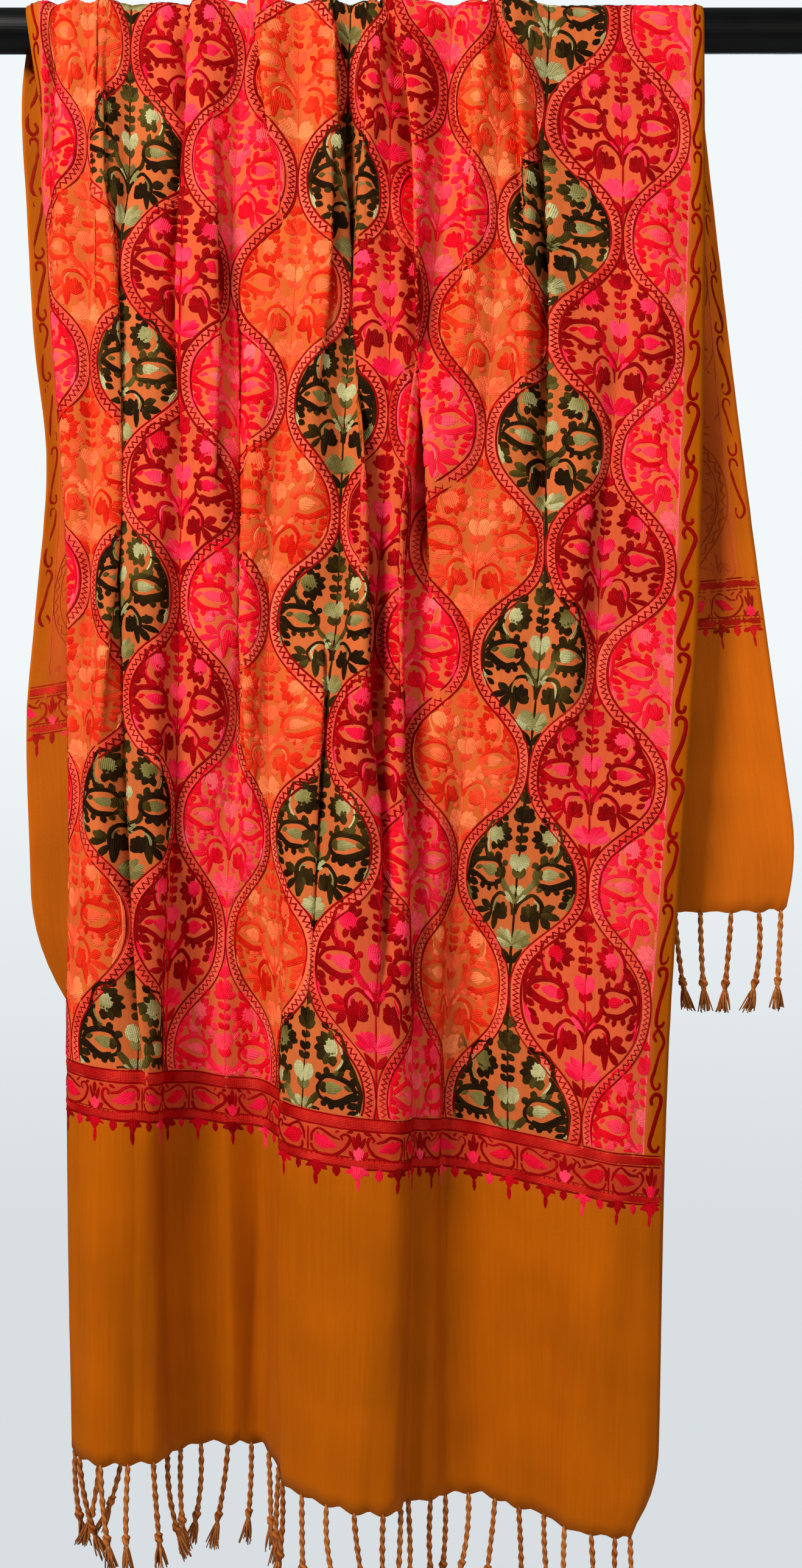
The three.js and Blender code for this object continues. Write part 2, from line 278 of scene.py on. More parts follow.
CREASES = tuple(Crease(*row) for row in (
    (52, 20, 420, 0.02, 7, -1.6), (96, 60, 330, -0.06, 5, 1.2), (150, -10, 260, 0.10, 6, -1.4),
    (214, 40, 520, -0.03, 6, 1.6), (262, 0, 210, 0.06, 5, -1.2), (318, 90, 640, 0.02, 5, -2.0),
    (372, -10, 330, -0.05, 6, 1.3), (436, 30, 300, 0.08, 8, -1.5), (488, 120, 560, -0.05, 6, 1.4),
    (548, -10, 280, 0.04, 7, -1.3), (604, 60, 470, -0.04, 7, 1.2), (660, 0, 240, 0.12, 6, -1.1),
    (88, -40, 260, 0.05, 14, 2.4), (236, -60, 250, -0.04, 13, -2.6),
    (398, -60, 240, 0.06, 12, 2.2), (470, -40, 250, 0.02, 11, -3.0),
    (532, -60, 230, -0.03, 10, 2.6), (640, -40, 260, 0.05, 15, 2.4),
    (500, 120, 230, 0.55, 7, 1.3), (560, 60, 200, -0.45, 8, -1.4), (420, 90, 240, 0.3, 8, 1.2),
    (612, 130, 250, 0.6, 6, 1.2), (180, 100, 250, 0.35, 9, 1.3), (64, 520, 960, 0.03, 6, -2.2),
    (118, 700, 1130, -0.03, 7, 1.5), (172, 560, 900, 0.05, 6, -1.8),
    (236, 820, 1160, -0.04, 6, -2.0), (296, 640, 1010, 0.03, 6, 1.6),
    (446, 760, 1150, -0.06, 7, -2.2), (502, 640, 1120, 0.04, 6, 1.6),
    (566, 900, 1180, -0.05, 8, -1.8), (622, 700, 1130, 0.06, 8, -1.4),
    (676, 560, 1080, -0.01, 6, 1.2), (46, 1320, 1800, 0.03, 8, 1.8),
    (128, 1400, 1990, -0.02, 9, -2.0), (206, 1290, 1720, 0.04, 8, 1.7),
    (284, 1480, 2010, -0.03, 9, -1.8), (366, 1300, 1840, 0.02, 8, 1.6),
    (452, 1420, 2020, -0.04, 9, -2.1), (538, 1310, 1790, 0.03, 8, 1.8),
    (610, 1500, 2010, 0.02, 9, -1.7), (668, 1280, 1700, -0.03, 8, 1.4),
))


@dataclass(frozen=True)
class Gather:
    """A line down the front fall where one fold lies over the next.

    Attributes:
        path: Where it runs, as pairs of along and place along the rod's axis.
        dip: How far the lower fold sinks towards the line.
        rise: How far the upper fold stands out at the line.
        low_reach: The half-width of the dip.
        high_reach: The half-width of the rise.
        hand: 1 if the upper fold lies on the right of the line, -1 if on its left.
    """

    path: tuple[Pair, ...]
    dip: float
    rise: float
    low_reach: float
    high_reach: float
    hand: int = 1


GATHERS = (
    Gather(((0, -251), (60, -251), (214, -250), (320, -246)), 4, 5, 10, 16, -1),
    Gather(((0, -170), (54, -172), (104, -173), (214, -179), (320, -180), (430, -176)),
           15, 8, 10, 20),
    Gather(((0, -127), (20, -122), (40, -116), (70, -112), (110, -108), (170, -100), (240, -92)),
           15, 11, 8, 18),
    Gather(((0, -62), (20, -60), (45, -56), (104, -54), (144, -49), (219, -43), (284, -41),
            (364, -34), (434, -29), (600, -26), (700, -18), (860, -17)), 14, 7, 11, 18, -1),
    Gather(((0, -16), (20, -10), (40, -4), (70, 3), (105, 8), (154, 12), (204, 13), (304, 16),
            (404, 22), (540, 24)), 21, 13, 11, 24),
    Gather(((0, 72), (20, 79), (40, 84), (70, 90), (104, 95), (140, 98), (240, 104)),
           21, 13, 10, 24),
    Gather(((80, 108), (134, 118), (164, 121), (260, 123), (400, 120), (520, 112)), 15, 7, 15, 16),
    Gather(((160, -232), (400, -229), (600, -222), (800, -212), (950, -205)), 13, 6, 12, 16),
    Gather(((240, -136), (450, -134), (640, -132)), 10, 5, 12, 14, -1),
    Gather(((520, -62), (700, -70), (900, -78)), 5, 3, 18, 14, -1),
)


@dataclass(frozen=True)
class Pressed:
    """A pressed line that runs right across the sheet: its v, half-width, depth and slant."""

    v: float
    width: float
    depth: float
    slant: float


PRESSED = (
    Pressed(95, 3.0, 0.9, 0.012),
    Pressed(188, 4.0, -0.5, -0.02),
    Pressed(1926, 3.0, 0.8, 0.0),
    Pressed(1016, 4.0, 0.6, 0.01),
)


def cubic_weights(t: np.ndarray) -> np.ndarray:
    """The four weights of a smooth curve through evenly spaced values, at share t."""
    return np.stack([
        0.5 * (-t + 2 * t**2 - t**3),
        0.5 * (2 - 5 * t**2 + 3 * t**3),
        0.5 * (t + 4 * t**2 - 3 * t**3),
        0.5 * (-(t**2) + t**3),
    ])


class Drape:
    """The hanging sheet: turns flat places into places in space.

    Args:
        cloth: The sheet's sizes.
        rod_radius: The rod's radius in mm.
    """

    # The grid on which the sheet is worked out: the along of its first row, the step from one
    # row to the next, its rows and its columns.
    FIRST, STEP, ROWS, COLS = -880.0, 4.0, 545, 285
    # A section between two warps: its points, the sharpness of its swell, what its lean takes
    # from the height and adds sideways, and the most that the swell grows.
    SAMPLES, CREASE, LEAN_LOSS, LEAN_REACH, MOST_RISE = 49, 1.4, 0.55, 0.3, 1.3
    # Its pleat: the longest as a share of the cloth, the lean that makes it full, how much of it
    # lifts, and the most that it lifts in mm.
    MOST_FOLD, FULL_LEAN, PLEAT_LIFT, MOST_LIFT = 0.55, 0.5, 0.5, 4.2
    # How far the warps sway, the run of drop over which they do, how much their lean wanders,
    # its own run, the phase from one warp to the next, and the drop at which they sway fully.
    SWAY, SWAY_RUN, WANDER, WANDER_RUN, PHASE, FREE = 3.0, 115.0, 0.3, 85.0, 2.1, 140.0
    # How far in from the left selvedge its waves behind the rod die away.
    EDGE_REACH = 60.0
    # Where the creases and the puckers begin below the rod, and over what drop they fade in.
    BELOW_ROD, BELOW_FADE = 40.0, 60.0
    # The needlework's puckers: their height, the worked stretch in v, and its fade.
    PUCKER, WORKED, WORKED_FADE = 0.45, (250.0, 1822.0), 20.0
    # A gather: how far its two layers lap, how sharp the lap is, how far behind the rod it
    # reaches, how much of it shows on the rod, where it is whole, and how it fades at both ends.
    OVERLAP, SHARP, BEHIND, ON_ROD, WHOLE = 5.5, 1.8, 26.0, 0.42, 45.0
    FADE_IN, FADE_OUT = 60.0, 150.0
    # Its dip starts where the cloth has left the rod, and grows over a short drop.
    DIP_FROM, DIP_GROWS = 38.0, 24.0
    # How much the back fall stretches on its bias at three places along the rod.
    BACK_SPAN, BACK_EASE = (-300.0, 215.0, 345.0), (1.012, 0.991, 1.014)

    def __init__(self, cloth: ClothSizes, rod_radius: float) -> None:
        self.cloth = cloth
        self.mid_radius = rod_radius + cloth.rod_gap + cloth.wall / 2
        self.quarter_turn = self.mid_radius * math.pi / 2
        self.along = self.FIRST + self.STEP * np.arange(self.ROWS)
        self.u = np.linspace(0.0, cloth.width, self.COLS)
        self.across, self.out = self._sections()
        self._roughen()
        self.normal = self._normals()

    def _table(self) -> dict[str, np.ndarray]:
        """Reads the table of warps at every row: (rows, warps) for each quantity."""
        at = np.array([level.at for level in LEVELS], float)

        def through(read: Callable[[Warp, Level], float]) -> np.ndarray:
            """One quantity of the table, smooth over the levels."""
            values = np.array([[read(warp, level) for level in LEVELS] for warp in WARPS], float)
            return smooth_through(at, values, self.along).T

        def pair(warp: Warp, level: Level) -> Pair:
            """The warp's place at one level."""
            held = getattr(warp, level.column)
            return held if isinstance(held, tuple) else (held, 0.0)

        return {
            "across": through(lambda warp, level: pair(warp, level)[0]),
            "out": through(lambda warp, level: pair(warp, level)[1]),
            "lean": through(lambda warp, level: warp.lean[0] * level.lean_share
                            + warp.lean[1] * (1 - level.lean_share)),
            "puff": through(lambda warp, level: warp.puff[level.puff_index] * level.puff_share),
        }

    def _loosened(self, table: dict[str, np.ndarray], flats: np.ndarray) -> None:
        """Lets the warps of the table sway a little, as hand-hung cloth does."""
        down = self.along[:, None]
        hanging = np.clip(np.abs(self.along) / self.FREE, 0, 1)[:, None]
        phase = np.arange(len(WARPS)) * self.PHASE
        inner = (phase > 0) * (phase < phase[-1])
        table["across"] += self.SWAY * hanging * inner * np.sin(down / self.SWAY_RUN + phase)
        wave = smooth_through(*np.array(BACK_EDGE, float).T, self.along)[:, None]
        table["across"] += wave * np.exp(-flats / self.EDGE_REACH)
        table["lean"] *= 1 - self.WANDER + self.WANDER * np.sin(down / self.WANDER_RUN - phase)

    def _section(self, table: dict[str, np.ndarray], flats: np.ndarray,
                 i: int) -> tuple[np.ndarray, np.ndarray]:
        """Works out the cloth between warp i and the next one at every row.

        It keeps its flat length: what a simple swell doesn't take up goes into a pleat that
        doubles back on itself, towards the side it leans to.

        Args:
            table: The warps' places, leans and puffs.
            flats: The warps' flat places.
            i: The warp on its left.

        Returns:
            Place along the rod and distance out, each (rows, samples).
        """
        t = np.linspace(0.0, 1.0, self.SAMPLES)
        pleat = np.sin(2 * math.pi * t) * np.sin(math.pi * t) / 0.77
        spare = flats[i + 1] - flats[i]
        places = flats[i] + t * spare
        base_x = smooth_through(flats, table["across"], places)
        base_y = smooth_through(flats, table["out"], places)
        run_x = table["across"][:, i + 1] - table["across"][:, i]
        run_y = table["out"][:, i + 1] - table["out"][:, i]
        chord = np.minimum(np.hypot(run_x, run_y), spare)
        turn = np.arctan2(run_y, run_x)[:, None]
        lean = table["lean"][:, i][:, None]
        height = (2 / math.pi) * np.sqrt(chord * (spare - chord)) * table["puff"][:, i]
        height = height[:, None] * (1 - self.LEAN_LOSS * np.abs(lean))

        def curve(rise: np.ndarray, fold: np.ndarray) -> tuple[np.ndarray, np.ndarray]:
            """The section with its swell scaled by rise and a pleat of size fold."""
            way = np.clip(t + fold * pleat / np.maximum(chord[:, None], 1.0), 0, 1)
            swell = height * rise * np.sin(math.pi * way) ** self.CREASE
            drift = swell * lean * self.LEAN_REACH + fold * pleat
            raised = np.minimum(fold * self.PLEAT_LIFT, self.MOST_LIFT)
            lift = swell + np.clip(lean * 3, -1, 1) * raised * pleat
            return (base_x - lift * np.sin(turn) + drift * np.cos(turn),
                    base_y + lift * np.cos(turn) + drift * np.sin(turn))

        def spent(rise: np.ndarray, fold: np.ndarray) -> np.ndarray:
            """The section's length."""
            x, y = curve(rise, fold)
            return np.hypot(np.diff(x), np.diff(y)).sum(axis=1)[:, None]

        rise = self._solve(lambda k: spent(k, 0 * k), spare, 1.0, self.MOST_RISE, chord.shape)
        most = self._solve(lambda k: spent(rise, k), spare, 0.0, self.MOST_FOLD * spare,
                           chord.shape)
        share = np.clip(np.abs(lean) / self.FULL_LEAN, 0, 1)
        return curve(rise, most * share * share * (3 - 2 * share))

    def _sections(self) -> tuple[np.ndarray, np.ndarray]:
        """Works out the folded sheet at every row.

        Returns:
            Place along the rod and distance out, each (rows, columns).
        """
        table = self._table()
        flats = np.array([warp.flat for warp in WARPS], float)
        self._loosened(table, flats)
        self.even = smooth_through(flats, table["across"], self.u)
        across = np.empty((self.ROWS, self.COLS))
        out = np.empty((self.ROWS, self.COLS))
        for i, (left, right) in enumerate(zip(flats[:-1], flats[1:])):
            x, y = self._section(table, flats, i)
            step = np.hypot(np.diff(x), np.diff(y))
            reach = np.concatenate([np.zeros((self.ROWS, 1)), np.cumsum(step, axis=1)], axis=1)
            inside = np.nonzero((self.u >= left - 1e-6) & (self.u <= right + 1e-6))[0]
            wanted = (self.u[inside] - left) / (right - left)
            for row in range(self.ROWS):
                at = wanted * reach[row, -1]
                across[row, inside] = np.interp(at, reach[row], x[row])
                out[row, inside] = np.interp(at, reach[row], y[row])
        return across, out

    @staticmethod
    def _solve(spent: Callable[[np.ndarray], np.ndarray], wanted: float, low: float,
               high: float, shape: tuple[int, ...]) -> np.ndarray:
        """Finds, row by row, the value between low and high that spends the wanted length.

        Args:
            spent: Gives the length at a value.
            wanted: The flat length.
            low: The least value.
            high: The most.
            shape: The rows.

        Returns:
            The value of each row.
        """
        below = np.full((*shape, 1), low)
        above = np.full((*shape, 1), high)
        for _ in range(16):
            middle = (below + above) / 2
            short = spent(middle) < wanted
            below = np.where(short, middle, below)
            above = np.where(short, above, middle)
        return below

    def _roughen(self) -> None:
        """Adds the curled corners, creases, gathers, pressed lines and puckers, in that order."""
        u, along = np.meshgrid(self.u, self.along)
        v = self.cloth.front_drop(u) - along
        hanging = np.clip((np.abs(along) - self.BELOW_ROD) / self.BELOW_FADE, 0, 1)
        for curl in CURLS:
            self._curl(curl, u, along)
        for crease in CREASES:
            self._crease(crease, hanging[:, 0])
        for sideways, outward in [self._gathered(gather) for gather in GATHERS]:
            self.across += sideways
            self.out += outward
        for line in PRESSED:
            off = (v - line.v - line.slant * u - 2.5 * np.sin(u / 61.0)) / line.width
            self.out += line.depth * np.exp(-off * off) * (0.7 + 0.3 * np.sin(u / 47.0))
        pucker = np.sin(u / 4.1 + 1.7 * np.sin(v / 31)) * np.sin(v / 6.3 + 1.3 * np.sin(u / 23))
        pucker += 0.8 * np.sin(u / 9.7 + v / 14.9) * np.sin(v / 11.3 - u / 17.0)
        self.out += self.PUCKER * pucker * within(v, *self.WORKED, self.WORKED_FADE) * hanging

    def _curl(self, curl: Curl, u: np.ndarray, along: np.ndarray) -> None:
        """Curls one corner."""
        drop = self.cloth.front_drop(u) if curl.front else self.cloth.back_drop(u)
        side = along > 0 if curl.front else along <= 0
        away = (np.maximum(drop - np.abs(along), 0) + np.abs(curl.flat - u)) / curl.reach
        share = np.clip(1 - away, 0, 1) ** 2 * side
        self.across += share * curl.inward * (-1 if curl.flat > 0 else 1)
        self.out += share * curl.outward

    def _crease(self, crease: Crease, hanging: np.ndarray) -> None:
        """Presses one crease into the sheet where it hangs free."""
        up = self.cloth.front_drop(crease.u) - self.along
        way = (up - crease.low) / (crease.high - crease.low)
        fade = np.sin(math.pi * np.clip(way, 0, 1)) ** 0.7 * hanging
        flat = crease.u + crease.slant * (up - crease.low)
        middle = np.array([np.interp(at, self.u, row) for at, row in zip(flat, self.even)])
        off = (self.across - middle[:, None]) / (0.85 * crease.width)
        self.out += crease.depth * fade[:, None] * np.exp(-off * off)

    def _gathered(self, gather: Gather) -> tuple[np.ndarray, np.ndarray]:
        """How far one gather moves each node of the grid along the rod and out of the fall.

        Args:
            gather: The gather.

        Returns:
            The move along the rod and the move out, each (rows, columns).
        """
        knots, places = np.array(gather.path, float).T
        line = smooth_through(knots, places, self.along)
        off = gather.hand * (self.across - line[:, None])
        over = 0.5 + 0.5 * np.tanh(off / self.SHARP)
        end = eased(np.clip((knots[-1] - self.along) / self.FADE_OUT, 0, 1))
        if knots[0] > 0:
            rise = dip = eased(np.clip((self.along - knots[0]) / self.FADE_IN, 0, 1)) * end
        else:
            leave = np.clip(self.along / self.WHOLE, 0, 1)
            rise = (self.ON_ROD + (1 - self.ON_ROD) * leave) * end
            rise = rise * np.exp(-(np.minimum(self.along, 0) / self.BEHIND) ** 2)
            dip = np.clip((self.along - self.DIP_FROM) / self.DIP_GROWS, 0, 1) * end
        upper = rise[:, None] * np.exp(-(off / gather.high_reach) ** 2) * over
        lower = dip[:, None] * np.exp(-(off / gather.low_reach) ** 2) * (1 - over)
        sideways = gather.hand * self.OVERLAP * (lower - upper)
        return sideways, gather.rise * upper - gather.dip * lower

    def place(self, along: np.ndarray, across: np.ndarray, out: np.ndarray) -> np.ndarray:
        """Puts points of the hanging sheet in space.

        Args:
            along: Place over the rod.
            across: Place along the rod's axis.
            out: Distance out of the plane in which the fall hangs.

        Returns:
            Points in mm, with x, y, z as the last axis.
        """
        reach = self.mid_radius + out
        turn = np.clip(along / self.mid_radius, -math.pi / 2, math.pi / 2)
        drop = np.maximum(np.abs(along) - self.quarter_turn, 0)
        drop = drop * np.where(along < 0, np.interp(across, self.BACK_SPAN, self.BACK_EASE), 1.0)
        return np.stack([across, -reach * np.sin(turn), reach * np.cos(turn) - drop], axis=-1)

    def _normals(self) -> np.ndarray:
        """The sheet's outward normals at the nodes of the grid."""
        points = self.place(self.along[:, None] + 0 * self.u, self.across, self.out)
        return unit(np.cross(np.gradient(points, axis=0), np.gradient(points, axis=1)))

    def _cell(self, u: np.ndarray,
              along: np.ndarray) -> tuple[np.ndarray, np.ndarray, np.ndarray, np.ndarray]:
        """Finds each place on the grid.

        Args:
            u: Places across the sheet.
            along: Places over the rod.

        Returns:
            The row and the column before each place, and how far it is past either.
        """
        row = np.clip((along - self.FIRST) / self.STEP, 0, self.ROWS - 1.001)
        col = np.clip(u / self.cloth.width * (self.COLS - 1), 0, self.COLS - 1.001)
        r, c = row.astype(int), col.astype(int)
        return r, c, row - r, col - c

    def _read(self, grid: np.ndarray, u: np.ndarray, along: np.ndarray) -> np.ndarray:
        """Reads a grid of the sheet smoothly between its nodes.

        Args:
            grid: A value at each node.
            u: Places across the sheet.
            along: Places over the rod.

        Returns:
            The grid's value at each place.
        """
        r, c, past_row, past_col = self._cell(u, along)
        row_weights, col_weights = cubic_weights(past_row), cubic_weights(past_col)
        total = 0.0
        for j in range(4):
            rows = np.clip(r + j - 1, 0, self.ROWS - 1)
            for k in range(4):
                cols = np.clip(c + k - 1, 0, self.COLS - 1)
                total = total + grid[rows, cols] * row_weights[j] * col_weights[k]
        return total

    def stand(self, u: np.ndarray, along: np.ndarray, lift: np.ndarray) -> np.ndarray:
        """Points that stand off the sheet's middle by lift, on its right side if positive.

        Args:
            u: Places across the sheet.
            along: Places over the rod.
            lift: How far each point stands off.

        Returns:
            Points in mm.
        """
        middle = self.place(along, self._read(self.across, u, along),
                            self._read(self.out, u, along))
        r, c, past_row, past_col = self._cell(u, along)
        y, x = past_row[..., None], past_col[..., None]
        normal = ((self.normal[r, c] * (1 - x) + self.normal[r, c + 1] * x) * (1 - y)
                  + (self.normal[r + 1, c] * (1 - x) + self.normal[r + 1, c + 1] * x) * y)
        return middle + unit(normal) * lift[..., None]

    def tightness(self) -> np.ndarray:
        """How tightly the sheet bends at each column: the average turn from one to the next."""
        side = np.diff(np.stack([self.across, self.out], axis=-1), axis=1)
        heading = np.unwrap(np.arctan2(side[..., 1], side[..., 0]), axis=1)
        bend = np.abs(np.diff(heading, axis=1)).mean(axis=0)
        return np.concatenate([[bend[0]], bend, [bend[-1]]])


# --- meshes and finishes


def new_mesh(name: str, points: np.ndarray, faces: list[np.ndarray], grain: np.ndarray,
             dye: np.ndarray | None = None) -> bpy.types.Object:
    """Makes one joined mesh from arrays.

    Args:
        name: The piece's name.
        points: Its points in mm.
        faces: Arrays of triangles or quads.
        grain: The UV place of each point, in metres of cloth or thread.
        dye: The linear colour of each point.

    Returns:
        The new object, smooth shaded.
    """
    mesh = bpy.data.meshes.new(name)
    corners = np.concatenate([part.ravel() for part in faces])
    sizes = np.concatenate([np.full(len(part), part.shape[1]) for part in faces])
    starts = np.concatenate([[0], np.cumsum(sizes)[:-1]])
    mesh.vertices.add(len(points))
    mesh.vertices.foreach_set("co", (points * MM).astype(np.float32).ravel())
    mesh.loops.add(len(corners))
    mesh.loops.foreach_set("vertex_index", corners.astype(np.int32))
    mesh.polygons.add(len(sizes))
    mesh.polygons.foreach_set("loop_start", starts.astype(np.int32))
    mesh.polygons.foreach_set("loop_total", sizes.astype(np.int32))
    mesh.update(calc_edges=True)
    layer = mesh.uv_layers.new(name="grain")
    layer.data.foreach_set("uv", grain[corners].astype(np.float32).ravel())
    if dye is not None:
        shades = mesh.color_attributes.new(name="dye", type="FLOAT_COLOR", domain="POINT")
        filled = np.concatenate([dye, np.ones((len(dye), 1))], axis=1)
        shades.data.foreach_set("color", filled.astype(np.float32).ravel())
    mesh.polygons.foreach_set("use_smooth", np.ones(len(sizes), dtype=bool))
    mesh.validate()
    piece = bpy.data.objects.new(name, mesh)
    bpy.context.scene.collection.objects.link(piece)
    return piece


class Bench:
    """A material's node tree, with short ways to add and join its nodes.

    Args:
        name: The material's name.
    """

    def __init__(self, name: str) -> None:
        self.material = bpy.data.materials.new(name)
        self.material.use_nodes = True
        self.tree = self.material.node_tree
        self.shader = self.tree.nodes["Principled BSDF"]

    def add(self, kind: str, settings: dict | None = None, **inputs: Value) -> bpy.types.Node:
        """Adds a node, sets its properties and either fills or joins its named inputs."""
        node = self.tree.nodes.new(kind)
        for name, value in (settings or {}).items():
            setattr(node, name, value)
        for name, value in inputs.items():
            self.feed(node.inputs[name.replace("_", " ")], value)
        return node

    def feed(self, socket: Socket, value: Value) -> None:
        """Joins an output to a socket, or sets the socket's own value."""
        if isinstance(value, Socket):
            self.tree.links.new(value, socket)
        else:
            socket.default_value = value

    def math(self, operation: str, first: Value, second: Value = 0.0) -> Socket:
        """One sum of two values."""
        node = self.add("ShaderNodeMath", {"operation": operation})
        self.feed(node.inputs[0], first)
        self.feed(node.inputs[1], second)
        return node.outputs[0]

    def mix(self, share: Value, first: Value, second: Value, blend: str = "MIX") -> Socket:
        """Blends two colours."""
        node = self.add("ShaderNodeMix", {"data_type": "RGBA", "blend_type": blend})
        self.feed(node.inputs[0], share)
        self.feed(node.inputs[6], first)
        self.feed(node.inputs[7], second)
        return node.outputs[2]

    def grain(self) -> tuple[Socket, Socket, Socket]:
        """The grain's UV place: the whole vector, its first and its second number."""
        place = self.add("ShaderNodeUVMap", {"uv_map": "grain"}).outputs[0]
        parts = self.add("ShaderNodeSeparateXYZ", Vector=place)
        return place, parts.outputs[0], parts.outputs[1]

    def noise(self, place: Socket, scale: float, detail: float = 2.0) -> Socket:
        """A soft noise, from about 0.3 to 0.7."""
        return self.add("ShaderNodeTexNoise", Vector=place, Scale=scale, Detail=detail).outputs[0]

    def span(self, value: Value, low: float, high: float, to_low: float,
             to_high: float) -> Socket:
        """Moves a value from one range into another."""
        node = self.add("ShaderNodeMapRange", Value=value)
        for index, number in enumerate((low, high, to_low, to_high), start=1):
            node.inputs[index].default_value = number
        return node.outputs[0]

    def dyed(self, value: Socket) -> Socket:
        """The dye of each point, made lighter or darker by value."""
        tint = self.add("ShaderNodeVertexColor", {"layer_name": "dye"}).outputs[0]
        return self.mix(1.0, tint, value, "MULTIPLY")

    def finish(self, colour: Value, height: Socket | None, distance: float,
               **sockets: Value) -> bpy.types.Material:
        """Joins the colour and the relief to the shader and sets its other sockets."""
        self.feed(self.shader.inputs["Base Color"], colour)
        if height is not None:
            bump = self.add("ShaderNodeBump", Height=height, Distance=distance, Strength=1.0)
            self.tree.links.new(bump.outputs[0], self.shader.inputs["Normal"])
        for name, value in sockets.items():
            self.feed(self.shader.inputs[name.replace("_", " ")], value)
        return self.material


@dataclass(frozen=True)
class WoolFinish:
    """Fine twill wool: the tint comes from the sheet, the weave from its grain."""

    name: str
    twill_pitch: float = 1.25
    streak: float = 0.06
    sheen: float = 0.03
    roughness: float = 0.7

    def material(self) -> bpy.types.Material:
        """Builds the material."""
        bench = Bench(self.name)
        place, u, v = bench.grain()
        turns = 2 * math.pi / (self.twill_pitch * MM)
        rib = bench.math("SINE", bench.math("MULTIPLY", bench.math("ADD", u, v), turns))
        warp = bench.math("SINE", bench.math("MULTIPLY", u, turns * 1.6))
        weave = bench.math("ADD", rib, bench.math("MULTIPLY", warp, 0.45))
        fuzz = bench.noise(place, 900.0)
        height = bench.math("ADD", bench.math("MULTIPLY", weave, 0.35), fuzz)
        stretch = bench.add("ShaderNodeMapping", Vector=place)
        stretch.inputs["Scale"].default_value = (1.0, 0.03, 1.0)
        streaks = bench.noise(stretch.outputs[0], 420.0)
        clouds = bench.noise(place, 11.0)
        value = bench.math("ADD", bench.span(streaks, 0.3, 0.7, 1 - self.streak, 1 + self.streak),
                           bench.span(clouds, 0.3, 0.7, -0.1, 0.1))
        # The twill's ribs also lighten the colour on their crests and darken it in their troughs:
        # painted light and shade on the weave.
        value = bench.math("ADD", value, bench.math("MULTIPLY", rib, 0.05))
        return bench.finish(bench.dyed(value), height, 0.00012, Roughness=self.roughness,
                            Sheen_Weight=self.sheen, Sheen_Roughness=0.45,
                            Sheen_Tint=(1.0, 0.62, 0.3, 1.0), Specular_IOR_Level=0.03)


@dataclass(frozen=True)
class ThreadFinish:
    """Silky embroidery thread: links of chain stitch with a soft gloss."""

    name: str
    link: float = 1.9
    row: float = 1.25
    roughness: float = 0.6
    relief: float = 0.0002

    def material(self) -> bpy.types.Material:
        """Builds the material."""
        bench = Bench(self.name)
        place, run, side = bench.grain()
        wobble = bench.math("MULTIPLY", bench.noise(place, 350.0), 3.0)
        links = bench.math("MULTIPLY", run, 2 * math.pi / (self.link * MM))
        links = bench.math("SINE", bench.math("ADD", links, wobble))
        rows = bench.math("MULTIPLY", side, 2 * math.pi / (self.row * MM))
        rows = bench.math("COSINE", bench.math("ADD", rows, wobble))
        height = bench.math("ADD", bench.math("MULTIPLY", links, 0.35), rows)
        # The stitch rows also lighten the colour on their crests and darken it between them:
        # painted light and shade on the relief.
        value = bench.math("ADD", bench.span(bench.noise(place, 260.0), 0.3, 0.7, 0.86, 1.14),
                           bench.math("MULTIPLY", rows, 0.06))
        return bench.finish(bench.dyed(value), height, self.relief, Roughness=self.roughness,
                            Sheen_Weight=0.0, Specular_IOR_Level=0.05)


@dataclass(frozen=True)
class TwistFinish:
    """Matt twisted wool with fine loose fibres."""

    name: str = "twisted_wool"

    def material(self) -> bpy.types.Material:
        """Builds the material."""
        bench = Bench(self.name)
        place, run, side = bench.grain()
        slant = bench.math("ADD", bench.math("MULTIPLY", run, 5200.0),
                           bench.math("MULTIPLY", side, 3000.0))
        fibres = bench.math("SINE", bench.math("ADD", slant, bench.noise(place, 600.0)))
        value = bench.span(bench.noise(place, 420.0), 0.3, 0.7, 0.82, 1.14)
        return bench.finish(bench.dyed(value), fibres, 0.00015, Roughness=0.9,
                            Sheen_Weight=0.05, Sheen_Roughness=0.5, Specular_IOR_Level=0.04)


@dataclass(frozen=True)
class RodFinish:
    """Satin black metal with faint drawn lines and rubbed patches."""

    name: str = "rod_satin_black"

    def material(self) -> bpy.types.Material:
        """Builds the material."""
        bench = Bench(self.name)
        place = bench.add("ShaderNodeTexCoord").outputs["Object"]
        drawn = bench.add("ShaderNodeMapping", Vector=place)
        drawn.inputs["Scale"].default_value = (0.04, 1.0, 1.0)
        lines = bench.noise(drawn.outputs[0], 900.0, 3.0)
        patches = bench.noise(place, 14.0)
        colour = bench.mix(bench.span(patches, 0.35, 0.7, 0.0, 1.0),
                           (*linear(1, 1, 1), 1.0), (*linear(5, 5, 6), 1.0))
        bench.feed(bench.shader.inputs["Roughness"], bench.span(lines, 0.3, 0.7, 0.34, 0.48))
        return bench.finish(colour, lines, 0.00003, Metallic=0.0, Specular_IOR_Level=0.14)


# --- the cloth


